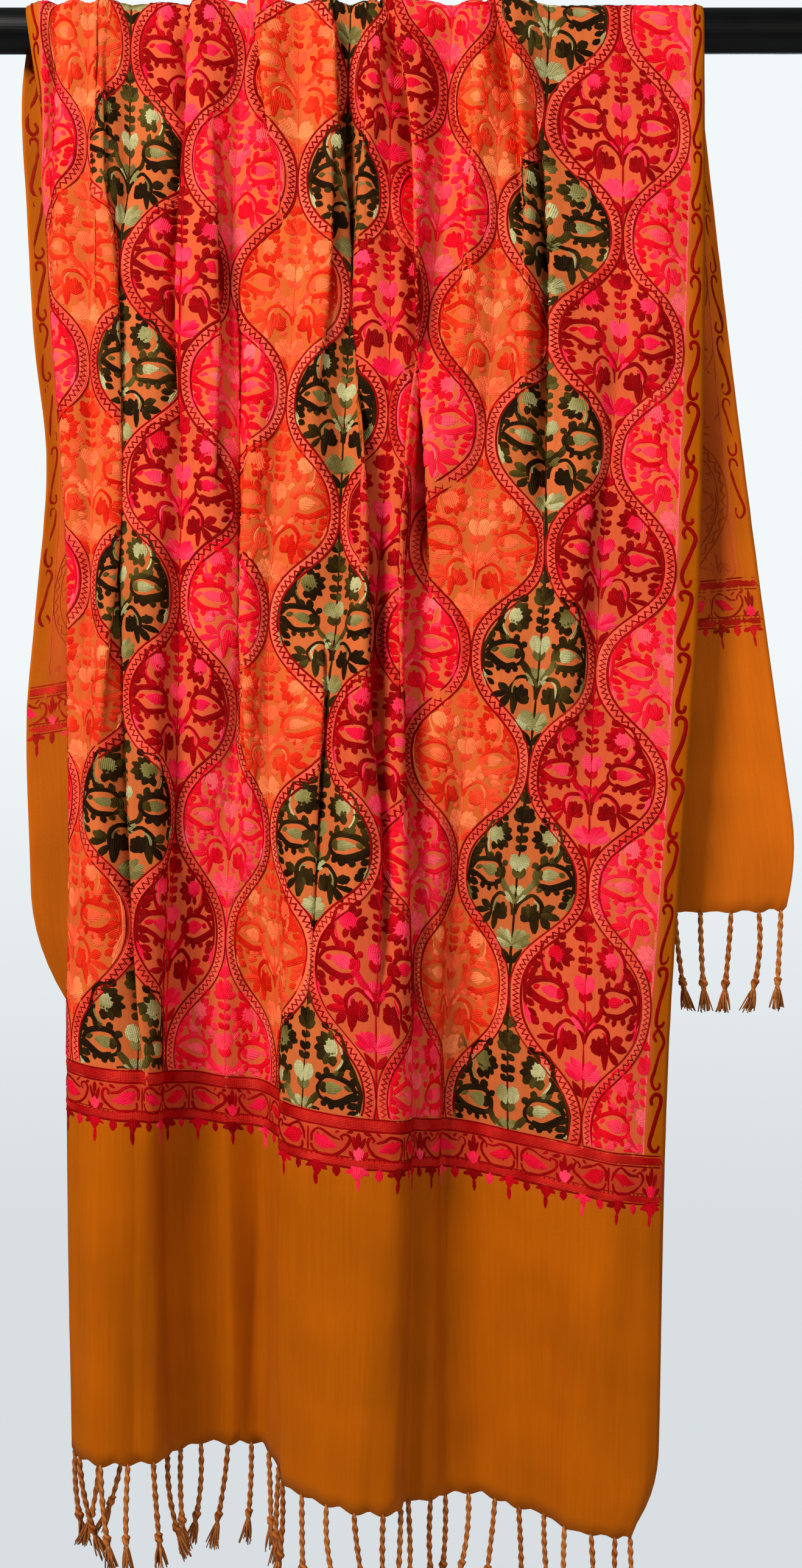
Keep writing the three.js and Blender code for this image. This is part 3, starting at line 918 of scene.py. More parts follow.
class Ground:
    """Colours of the woven ground, before light except the painted light on the wrong side, and
    where each of them lies.
    """

    PLAIN = linear(165, 80, 1)
    FIELD = linear(196, 86, 42)
    BORDER = linear(176, 40, 26)
    BACK = linear(172, 83, 10)
    BACK_FIELD = linear(174, 74, 20)
    # The worked field in v and its fade, and how wide a selvedge stays plain.
    WORKED, WORKED_FADE, SELVEDGE = (270.0, 1802.0), 30.0, 12.0
    # The two outermost half lenses, and the fade of a lens's or a rail's colour.
    LENSES, FADE = (19.5, 691.5), 5.0
    # The end borders' stretches in v, and how much of their colour shows on either side.
    RAILS, RAIL_SHARES = ((280.0, 312.0), (1761.0, 1793.0)), (0.75, 0.1)
    # How much of a lens's colour comes through to the wrong side.
    THROUGH = 0.15
    # Painted light: the wrong side is lightened towards the right, above one v and most below
    # another, where the front fall shades the back fall.
    PALER_FROM, PALER_REACH, PALER_ABOVE, PALER_BELOW = 560.0, 80.0, 1300.0, 1640.0
    PALER_LEAST, PALER_MORE, PALER_FADE = 0.22, 0.3, 100.0


@dataclass
class ShawlCloth:
    """The sheet itself: one thin closed shell over the rod, with a right and a wrong side.

    It has columns of points across, and rows of faces down both falls and over the rod, which
    reach down either side of it by rod_reach.
    """

    drape: Drape
    columns: int = 244
    front_rows: int = 108
    back_rows: int = 56
    rod_rows: int = 18
    rod_reach: float = 36.0
    # How even the columns' spacing is, as a share of the mean tightness.
    evenness: float = 0.35

    # The hem's dips between two strands: how narrow, how deep on average and how much deeper or
    # shallower, their step from one to the next, and how near the hem they begin.
    NARROW, DIP, DIP_SPREAD, DIP_STEP, NEAR_HEM = 1.3, 0.66, 0.34, 5.3, 40.0

    def _columns(self) -> np.ndarray:
        """Flat places of the columns, closer together where the folds are tight."""
        crowd = self.evenness * self.drape.tightness().mean() + self.drape.tightness()
        crowd = np.convolve(np.pad(crowd, 3, mode="edge"), np.ones(7) / 7, mode="valid")
        reach = np.concatenate([[0.0], np.cumsum((crowd[1:] + crowd[:-1]) / 2)])
        wanted = np.linspace(0.0, reach[-1], self.columns)
        return np.interp(wanted, reach, self.drape.u)

    def _rows(self, u: np.ndarray) -> np.ndarray:
        """The along of every point, from the back hem over the rod to the front hem.

        The hem is drawn down at each strand's root, and dips unevenly between two of them.
        """
        cloth = self.drape.cloth
        strand = u * cloth.strands / cloth.width
        dips = 1 - np.abs(np.sin(math.pi * strand)) ** self.NARROW
        uneven = self.DIP + self.DIP_SPREAD * np.sin(self.DIP_STEP * np.round(strand))
        scallop = cloth.scallop * (1 - uneven * dips)
        front = np.linspace(0.0, 1.0, self.front_rows + 1)[:, None]
        back = np.linspace(1.0, 0.0, self.back_rows + 1)[:, None]
        front_hem = cloth.front_drop(u) - self.rod_reach
        back_hem = cloth.back_drop(u) - self.rod_reach
        over = np.linspace(-self.rod_reach, self.rod_reach, self.rod_rows + 1)[1:-1, None]
        return np.concatenate([
            -self.rod_reach - back * back_hem - scallop * back**self.NEAR_HEM,
            over + 0 * u,
            self.rod_reach + front * front_hem + scallop * front**(2 * self.NEAR_HEM),
        ])

    def _tint(self, u: np.ndarray, v: np.ndarray, right_side: bool) -> np.ndarray:
        """The ground's colour: warmer where it is worked, plain at both ends, and lightened on the
        back fall's wrong side by painted light.

        Args:
            u: Places across the sheet.
            v: Distances up from the front hem.
            right_side: Whether it is the right side.

        Returns:
            Linear colours.
        """
        plain, worked = (Ground.PLAIN, Ground.FIELD) if right_side else (Ground.BACK,
                                                                         Ground.BACK_FIELD)
        width = self.drape.cloth.width
        share = within(v, *Ground.WORKED, Ground.WORKED_FADE)
        share = share * within(u, Ground.SELVEDGE, width - Ground.SELVEDGE, Ground.SELVEDGE)
        tint = blend(plain, worked, share[:, None])
        net = OgeeNet()
        for column in range(net.columns):
            hue, depth = LENS_GROUND[net.family(column)]
            left = net.band(column - 1, v) if column else Ground.LENSES[0]
            right = net.band(column, v) if column < net.columns - 1 else Ground.LENSES[1]
            inside = within(u, left, right, Ground.FADE) * (v > net.low) * (v < net.high)
            inside = (depth if right_side else Ground.THROUGH * depth) * inside[:, None]
            tint = blend(tint, hue, inside)
        # Painted light: lightens the back fall's wrong side towards the right, just below the rod,
        # where the front fall casts its shadow.
        if not right_side:
            more = Ground.PALER_MORE * np.clip((Ground.PALER_BELOW - v) / Ground.PALER_FADE, 0, 1)
            paler = (Ground.PALER_LEAST + more) * (v > Ground.PALER_ABOVE)
            across = np.clip((u - Ground.PALER_FROM) / Ground.PALER_REACH, 0, 1)
            tint = tint * (1 + paler * across)[:, None]
        for low, high in Ground.RAILS:
            inside = within(v, low, high, Ground.FADE)
            inside = Ground.RAIL_SHARES[0 if right_side else 1] * inside[:, None]
            tint = blend(tint, Ground.BORDER, inside)
        return tint

    def build(self) -> bpy.types.Object:
        """Builds the shell."""
        cloth = self.drape.cloth
        columns = self._columns()
        along = self._rows(columns)
        rows = along.shape[0]
        u = np.broadcast_to(columns, along.shape).ravel()
        flat_along = along.ravel()
        v = cloth.front_drop(u) - flat_along
        right = self.drape.stand(u, flat_along, np.full(u.shape, cloth.wall / 2))
        wrong = self.drape.stand(u, flat_along, np.full(u.shape, -cloth.wall / 2))
        at = np.arange(rows * self.columns).reshape(rows, self.columns)
        below = at + at.size
        a, b, c, d = (x.ravel() for x in (at[:-1, :-1], at[1:, :-1], at[1:, 1:], at[:-1, 1:]))
        faces = [np.stack([a, b, c, d], axis=1),
                 np.stack([a, d, c, b], axis=1) + at.size]
        for edge, low in ((at[:, 0], below[:, 0]), (at[::-1, -1], below[::-1, -1]),
                          (at[0, ::-1], below[0, ::-1]), (at[-1], below[-1])):
            faces.append(np.stack([edge[:-1], low[:-1], low[1:], edge[1:]], axis=1))
        grain = np.tile(np.stack([u, v], axis=1) * MM, (2, 1))
        dye = np.concatenate([self._tint(u, v, True), self._tint(u, v, False)])
        piece = new_mesh("shawl_cloth", np.concatenate([right, wrong]), faces, grain, dye)
        piece.data.materials.append(WoolFinish("wool_right_side").material())
        piece.data.materials.append(WoolFinish("wool_wrong_side", roughness=0.8).material())
        shell = np.zeros(len(piece.data.polygons), dtype=np.int32)
        shell[len(faces[0]):len(faces[0]) * 2] = 1
        piece.data.polygons.foreach_set("material_index", shell)
        return piece


# --- the needlework


class Family(Enum):
    """Families of thread: each value is its dyes from the darkest to the palest."""

    PINK = (linear(206, 0, 14), linear(236, 10, 34), linear(250, 34, 62), linear(255, 62, 84),
            linear(255, 98, 104))
    ORANGE = (linear(196, 12, 4), linear(222, 40, 14), linear(238, 70, 38), linear(246, 96, 56),
              linear(248, 130, 76))
    GREEN = (linear(30, 15, 1), linear(50, 34, 6), linear(86, 72, 26), linear(132, 122, 68),
             linear(182, 176, 124))
    CRIMSON = (linear(132, 0, 2), linear(164, 0, 8), linear(206, 2, 24), linear(240, 18, 60),
               linear(255, 62, 92))
    BAND = (linear(128, 0, 0), linear(160, 4, 4), linear(204, 36, 26), linear(240, 86, 62),
            linear(252, 112, 84))

    def shades(self, tone: np.ndarray) -> np.ndarray:
        """Linear colours for tones from 0, the darkest, to 1, the palest."""
        ramp = np.array(self.value)
        knots = np.linspace(0.0, 1.0, len(ramp))
        return np.stack([np.interp(tone, knots, ramp[:, k]) for k in range(3)], axis=-1)


class Shape(Enum):
    """How a run of stitches swells along its length, as shares of its half-width."""

    LEAF = (0.30, 0.62, 0.95, 1.0, 0.82, 0.32)
    LINE = (0.75, 1.0, 1.0, 1.0, 1.0, 0.7)
    DISC = (0.28, 0.82, 1.0, 1.0, 0.82, 0.27)
    TAPER = (1.0, 0.95, 0.86, 0.72, 0.52, 0.25)
    POINTED = (0.25, 0.75, 1.0, 0.85, 0.5, 0.12)


@dataclass(frozen=True)
class Stroke:
    """One raised run of stitches.

    Attributes:
        path: Places that it runs through, in mm.
        half: Half of its width at the widest.
        tone: Its tone in the family's dyes.
        shape: How its width swells.
        cornered: Whether it turns sharply at each place of its path.
    """

    path: tuple[Pair, ...]
    half: float
    tone: float
    shape: Shape = Shape.LEAF
    cornered: bool = False

    def mirrored(self) -> "Stroke":
        """The same run on the other side of the stem."""
        return Stroke(tuple((-x, y) for x, y in self.path), self.half, self.tone, self.shape,
                      self.cornered)


@dataclass
class Patch:
    """Stitches as a mesh in flat coordinates, before they are laid on the sheet."""

    place: np.ndarray
    lift: np.ndarray
    tone: np.ndarray
    grain: np.ndarray
    faces: np.ndarray

    @staticmethod
    def joined(patches: list["Patch"]) -> "Patch":
        """Joins several patches into one."""
        starts = np.cumsum([0] + [len(patch.place) for patch in patches[:-1]])
        return Patch(*(np.concatenate([getattr(patch, name) for patch in patches])
                       for name in ("place", "lift", "tone", "grain")),
                     np.concatenate([p.faces + start for p, start in zip(patches, starts)]))

    def turned(self, flip: Pair, moved: Pair) -> "Patch":
        """The patch scaled by flip, which may mirror it, and moved."""
        faces = self.faces if flip[0] * flip[1] > 0 else self.faces[:, ::-1]
        return Patch(self.place * np.array(flip) + np.array(moved), self.lift, self.tone,
                     self.grain, faces)


@dataclass
class Needle:
    """Turns runs of stitches into patches, each a little different, as by hand."""

    seed: int
    # How far a run's places stray from the chart, and how high its middle and its edges stand.
    stray: float = 0.55
    relief: float = 0.62
    sunk: float = 0.05
    # How wide the runs are and how far apart their points, as shares of the usual, and the
    # half-width from which a run has five points across and not three.
    slim: float = 1.0
    wide: float = 2.4
    coarse: float = 1.0

    # How much the runs' widths and tones differ, how a tone swings along a run, the thinnest
    # half-width, and the pace of the points along a bent and a straight run.
    WIDTH_SPREAD, TONE_SPREAD, TONE_SWING, SWING_PACE = 0.12, 0.07, 0.05, 0.21
    THINNEST, PACE, STRAIGHT_PACE = 0.3, 2.6, 3.4

    def __post_init__(self) -> None:
        """Starts the needle's own run of small differences."""
        self.rng = np.random.default_rng(self.seed)

    def sew(self, strokes: list[Stroke]) -> Patch:
        """Sews several runs as one patch."""
        return Patch.joined([self._run(stroke) for stroke in strokes])

    def _run(self, stroke: Stroke) -> Patch:
        """Sews one run as a low ridge, three or five points across.

        Args:
            stroke: The run.

        Returns:
            Its stitches.
        """
        path = np.array(stroke.path, float)
        path += self.rng.normal(0.0, self.stray, path.shape) if not stroke.cornered else 0.0
        half = stroke.half * self.slim * (1 + self.WIDTH_SPREAD * self.rng.standard_normal())
        half = max(half, self.THINNEST)
        tone = stroke.tone + self.TONE_SPREAD * self.rng.standard_normal()
        reach = np.concatenate([[0.0], np.cumsum(np.hypot(*np.diff(path, axis=0).T))])
        if stroke.cornered:
            line, at = path.T, reach
        else:
            pace = (self.PACE if len(path) > 2 else self.STRAIGHT_PACE) * self.coarse
            steps = int(np.clip(round(reach[-1] / pace), 3 if self.coarse == 1 else 2, 400))
            at = np.linspace(0.0, reach[-1], steps + 1)
            line = smooth_through(reach, path.T, at)
        ahead = np.gradient(line, axis=1)
        ahead /= np.maximum(np.hypot(*ahead), 1e-6)
        left = np.stack([-ahead[1], ahead[0]])
        share = at / reach[-1]
        profile = np.array(stroke.shape.value)
        width = half * np.interp(share, np.linspace(0.0, 1.0, len(profile)), profile)
        lanes = np.linspace(1.0, -1.0, 5 if half > self.wide else 3)
        place = line[:, :, None] + left[:, :, None] * width[None, :, None] * lanes
        crown = np.sqrt(1 - 0.9 * lanes**2)
        crown = (crown - crown[0]) / (1 - crown[0])
        ridge = self.relief * np.clip(0.45 + width / 3.0, 0.5, 1.1)
        lift = self.sunk + (ridge - self.sunk)[:, None] * crown
        along = at[:, None] + 0 * lanes
        aside = width[:, None] * lanes + 0.6
        start = self.rng.uniform(0, 60)
        rows, cols = len(at), len(lanes)
        index = np.arange(rows * cols).reshape(rows, cols)
        faces = np.stack([index[:-1, :-1], index[:-1, 1:], index[1:, 1:], index[1:, :-1]], axis=-1)
        swing = self.TONE_SWING * np.sin(at * self.SWING_PACE + start)
        return Patch(np.moveaxis(place, 0, -1).reshape(-1, 2), lift.ravel(),
                     (tone + swing[:, None] + 0 * lanes).ravel(),
                     np.stack([along + start, aside + start], axis=-1).reshape(-1, 2),
                     faces.reshape(-1, 4))


def leaf(x0: float, y0: float, x1: float, y1: float, half: float, tone: float,
         shape: Shape = Shape.LEAF) -> Stroke:
    """A straight leaf or petal from its root to its tip."""
    return Stroke(((x0, y0), (x1, y1)), half, tone, shape)


def line(half: float, tone: float, *places: Pair) -> Stroke:
    """A run that keeps its width."""
    return Stroke(places, half, tone, Shape.LINE)


def leaves(*rows: tuple) -> list[Stroke]:
    """Several single leaves, in order."""
    return [leaf(*row) for row in rows]


def fan(root: Pair, tips: tuple[Pair, ...], half: float, tone: float) -> list[Stroke]:
    """Leaves that spread from one root."""
    return [leaf(*root, *tip, half, tone) for tip in tips]


def spray(centre: Pair, inner: float, outer: float, angles: tuple[float, ...], half: float,
          tone: float) -> list[Stroke]:
    """Petals that stand round a centre, at angles in degrees from +x."""
    petals = []
    for angle in angles:
        x, y = math.cos(math.radians(angle)), math.sin(math.radians(angle))
        petals.append(leaf(centre[0] + inner * x, centre[1] + inner * y,
                           centre[0] + outer * x, centre[1] + outer * y, half, tone))
    return petals


@dataclass(frozen=True)
class OgeeNet:
    """The net of wavy bands, with a column of lens-shaped fields on every axis."""

    # The u of the first column's stem, and the step from one stem to the next.
    first: float = 19.5
    pitch: float = 56.0
    columns: int = 13
    # From one lens to the next in a column, and the v of the even columns' first lens.
    period: float = 178.0
    even_centre: float = 350.0
    # How far a band swings to either side, and the net's lower and upper end.
    swing: float = 23.5
    low: float = 317.0
    high: float = 1757.0
    # How much lower than even the rows are drawn near the front border, and over what v.
    sag: float = 18.0
    sag_from: float = 500.0
    sag_reach: float = 170.0
    order: tuple[Family, ...] = (Family.PINK, Family.ORANGE, Family.GREEN, Family.CRIMSON)

    def axis(self, column: int) -> float:
        """Where a column's stem runs."""
        return self.first + self.pitch * column

    def family(self, column: int) -> Family:
        """The dyes of a column."""
        return self.order[column % len(self.order)]

    def centres(self, column: int) -> list[float]:
        """The middles of a column's lenses."""
        start = self.even_centre - (self.period / 2 if column % 2 else 0.0)
        count = math.ceil((self.high + self.period / 2 - start) / self.period)
        return [start + self.period * k for k in range(count)]

    def settle(self, v: np.ndarray) -> np.ndarray:
        """How much lower the drawn rows run near the front border than an even net."""
        share = np.clip((self.sag_from - v) / self.sag_reach, 0, 1)
        return self.sag * share * share * (3 - 2 * share)

    def band(self, gap: int, v: np.ndarray) -> np.ndarray:
        """Where the band between two columns runs at v.

        Args:
            gap: The column on its left.
            v: Distances up from the front hem.

        Returns:
            Its u at each v.
        """
        even = v + self.settle(v)
        wave = np.cos(2 * math.pi * (even - self.even_centre) / self.period)
        swing = self.swing * (0.5 * wave + 0.5 * np.sin(math.pi / 2 * wave))
        return self.axis(gap) + self.pitch / 2 + swing * (1 if gap % 2 == 0 else -1)


# The colour that the crowded stitches give the ground of a lens, and how much of it shows.
LENS_GROUND = {
    Family.PINK: (linear(212, 88, 50), 0.75),
    Family.ORANGE: (linear(196, 86, 32), 0.7),
    Family.GREEN: (linear(184, 94, 46), 0.75),
    Family.CRIMSON: (linear(202, 80, 46), 0.75),
}


class LensChart:
    """The flowering sprig that fills a lens: x from its stem, y up from the lens's middle."""

    @staticmethod
    def flower() -> list[Stroke]:
        """The round flower, its tendril and its bud."""
        return [
            Stroke(((22.4, 26.8), (21.6, 33.5), (20.6, 40.4)), 6.0, 0.86, Shape.DISC),
            *spray((21.6, 33.4), 4.4, 12.8, (92, 124, 156, 188, 220, 252, 284), 2.0, 0.12),
            leaf(25.5, 31.0, 19.0, 27.6, 2.3, 0.3),
            line(1.0, 0.1, (28.5, 14.5), (33.2, 23.5), (33.2, 34.5), (28.0, 44.0), (19.5, 47.4)),
            line(0.6, 0.82, (26.6, 16.4), (30.8, 24.5), (30.9, 33.6), (27.6, 40.4)),
            leaf(19.4, 45.4, 14.4, 51.0, 2.0, 0.1),
        ]

    @staticmethod
    def paisley() -> list[Stroke]:
        """The paisley at the lens's waist, with the fans above and below its tip."""
        return [
            line(1.35, 0.08, (43.6, 4.0), (38.4, 10.2), (28.4, 13.6), (19.6, 12.3), (14.8, 7.0)),
            line(1.25, 0.16, (14.9, 8.4), (13.4, 2.4), (15.4, -2.6), (20.4, -5.0)),
            line(1.75, 0.06, (18.4, -4.8), (26.0, -6.2), (33.2, -4.4), (39.2, -0.6), (43.6, 3.4)),
            *leaves((18.2, 3.4, 33.0, 5.6, 4.3, 0.8, Shape.POINTED),
                    (17.6, 8.2, 19.8, 0.2, 2.7, 0.34), (33.4, 7.2, 38.8, 4.6, 1.5, 0.5),
                    (18.8, 12.6, 20.6, 19.4, 1.9, 0.16), (24.8, 13.2, 27.6, 18.6, 1.6, 0.3),
                    (15.0, 9.4, 11.4, 13.4, 1.8, 0.16)),
            line(1.0, 0.1, (42.0, -19.0), (45.4, -8.0), (45.8, 4.0), (43.0, 16.0), (36.6, 28.6)),
            *leaves((44.0, 11.0, 38.4, 14.4, 1.9, 0.07), (42.6, 16.4, 36.2, 19.2, 2.0, 0.07),
                    (40.4, 21.6, 33.6, 23.8, 2.0, 0.07), (37.4, 26.6, 31.2, 29.4, 1.9, 0.1),
                    (45.6, 2.0, 38.6, -1.4, 2.0, 0.07), (45.2, -4.6, 37.4, -8.0, 2.1, 0.07),
                    (43.8, -11.0, 36.2, -14.0, 2.0, 0.07), (41.6, -17.0, 35.0, -20.4, 1.9, 0.1),
                    (45.6, -7.0, 41.4, -22.4, 1.5, 0.8)),
        ]

    @staticmethod
    def scroll() -> list[Stroke]:
        """The scroll below the waist, round a heart of leaves, with its outer fingers."""
        return [
            line(1.0, 0.08, (0.6, -29.5), (2.2, -21.2), (7.0, -15.8), (13.6, -14.2),
                 (19.4, -17.2), (22.0, -23.6), (20.6, -31.2)),
            line(0.6, 0.8, (15.4, -17.0), (18.6, -20.6), (19.0, -25.4), (18.0, -30.6)),
            *fan((12.8, -33.6), ((5.6, -29.0), (7.4, -23.6), (11.2, -20.4), (15.0, -21.8),
                                 (16.6, -27.4)), 2.3, 0.07),
            *leaves((16.6, -21.0, 18.2, -43.4, 1.9, 0.12), (22.6, -24.8, 31.8, -20.6, 2.6, 0.22),
                    (22.4, -27.6, 36.8, -29.8, 2.1, 0.12), (21.4, -29.6, 28.8, -39.0, 2.1, 0.12)),
            line(1.6, 0.4, (14.6, -0.6), (11.2, -7.0), (5.8, -12.6), (0.8, -21.0)),
            *leaves((1.6, -20.0, 9.4, -10.4, 2.4, 0.86), (2.2, -14.0, 4.6, -6.0, 2.2, 0.72)),
        ]

    @staticmethod
    def stem_leaves() -> list[Stroke]:
        """The leaves that sit on the stem, from its top to its foot."""
        return [
            *fan((0.2, 61.6), ((5.8, 66.6), (2.2, 69.6)), 2.0, 0.24),
            *fan((0.4, 45.8), ((9.6, 50.4), (7.4, 56.6), (2.4, 58.8)), 2.35, 0.28),
            *leaves((0.0, 37.4, 4.8, 41.8, 1.8, 0.3), (0.0, 29.4, 5.0, 33.6, 1.9, 0.22),
                    (0.2, 22.0, 4.8, 26.2, 1.8, 0.18), (0.2, 52.6, 5.4, 56.2, 1.8, 0.2),
                    (28.6, 13.6, 31.6, 19.6, 1.6, 0.16), (26.0, -6.6, 25.0, -12.0, 1.7, 0.1),
                    (32.4, -5.4, 32.4, -11.0, 1.6, 0.14), (20.4, -5.8, 17.6, -10.2, 1.5, 0.16),
                    (8.2, -15.6, 4.6, -11.0, 1.4, 0.16), (1.6, 5.6, 5.4, 19.4, 3.2, 0.86),
                    (0.8, 0.4, 4.4, 8.0, 2.2, 0.34)),
            *fan((0.5, -53.4), ((5.6, -40.4), (10.6, -41.2), (14.0, -44.8), (14.8, -49.6),
                                (9.8, -52.2)), 2.35, 0.86),
            *leaves((0.8, -67.0, 8.8, -56.4, 2.2, 0.2, Shape.POINTED),
                    (2.0, -65.0, 6.8, -58.6, 0.9, 0.9)),
        ]

    @staticmethod
    def filling() -> list[Stroke]:
        """Small extra leaves that crowd the ground of the pink and orange lenses."""
        return [
            *leaves((8.0, 38.0, 11.0, 29.0, 2.2, 0.6), (6.6, 21.0, 12.6, 26.4, 2.2, 0.5),
                    (9.4, 15.6, 14.6, 20.6, 1.9, 0.7), (24.0, 17.6, 33.0, 19.8, 2.0, 0.66),
                    (21.0, -8.6, 30.6, -10.4, 2.1, 0.62), (25.0, -13.4, 33.0, -15.6, 2.0, 0.5),
                    (10.4, -8.8, 17.6, -10.6, 2.0, 0.7), (4.4, -35.4, 9.4, -38.4, 2.0, 0.55),
                    (22.4, -36.4, 20.4, -43.4, 1.9, 0.6), (3.4, -58.4, 11.4, -55.6, 1.7, 0.6)),
            line(0.9, 0.74, (40.4, -27.0), (45.8, -12.0), (47.0, 4.0), (44.4, 20.0), (37.0, 36.0)),
        ]

    def strokes(self, family: Family) -> list[Stroke]:
        """All runs of one lens in one family."""
        half = [*self.flower(), *self.paisley(), *self.scroll(), *self.stem_leaves()]
        if family in (Family.PINK, Family.ORANGE):
            half += self.filling()
        return half + [stroke.mirrored() for stroke in half]


@dataclass
class Needlework:
    """Lays patches on the sheet and makes them into pieces.

    Attributes:
        drape: The hanging sheet.
        wrong_side: Whether it lies on the wrong side, where only thin floats show.
    """

    drape: Drape
    wrong_side: bool = False
    places: list = field(default_factory=list)
    lifts: list = field(default_factory=list)
    grains: list = field(default_factory=list)
    dyes: list = field(default_factory=list)
    faces: list = field(default_factory=list)
    count: int = 0

    def lay(self, patch: Patch, family: Family, strength: float = 1.0,
            low: float = -1e9, high: float = 1e9) -> None:
        """Lays one patch, in the sheet's own u and v.

        Args:
            patch: The stitches.
            family: Their dyes.
            strength: How much of the dye shows over the ground.
            low: Stitches below this v are left out.
            high: Stitches above this v are left out.
        """
        middle = patch.place[patch.faces].mean(axis=1)
        width = self.drape.cloth.width
        kept = (middle[:, 1] > low) & (middle[:, 1] < high)
        kept &= (middle[:, 0] > 0.5) & (middle[:, 0] < width - 0.5)
        faces = patch.faces[kept]
        used, faces = np.unique(faces, return_inverse=True)
        if not len(used):
            return
        faces = faces.reshape(-1, 4)
        place = patch.place[used].copy()
        place[:, 1] = np.clip(place[:, 1], low, high)
        place[:, 0] = np.clip(place[:, 0], 0.4, width - 0.4)
        dye = family.shades(np.clip(patch.tone[used], 0, 1))
        self.places.append(place)
        self.lifts.append(patch.lift[used])
        self.grains.append(patch.grain[used])
        self.dyes.append(blend(Ground.BACK_FIELD, dye, strength))
        self.faces.append(faces + self.count)
        self.count += len(used)

    def piece(self, name: str, material: bpy.types.Material) -> bpy.types.Object:
        """Makes all that was laid into one piece.

        Args:
            name: The piece's name.
            material: Its thread.

        Returns:
            The piece.
        """
        place = np.concatenate(self.places)
        lift = np.concatenate(self.lifts) + self.drape.cloth.wall / 2
        faces = np.concatenate(self.faces)
        if self.wrong_side:
            lift, faces = -lift, faces[:, ::-1]
        along = self.drape.cloth.front_drop(place[:, 0]) - place[:, 1]
        points = self.drape.stand(place[:, 0], along, lift)
        made = new_mesh(name, points, [faces], np.concatenate(self.grains) * MM,
                        np.concatenate(self.dyes))
        made.data.materials.append(material)
        LOG.info("%s: %d triangles", name, 2 * len(faces))
        return made


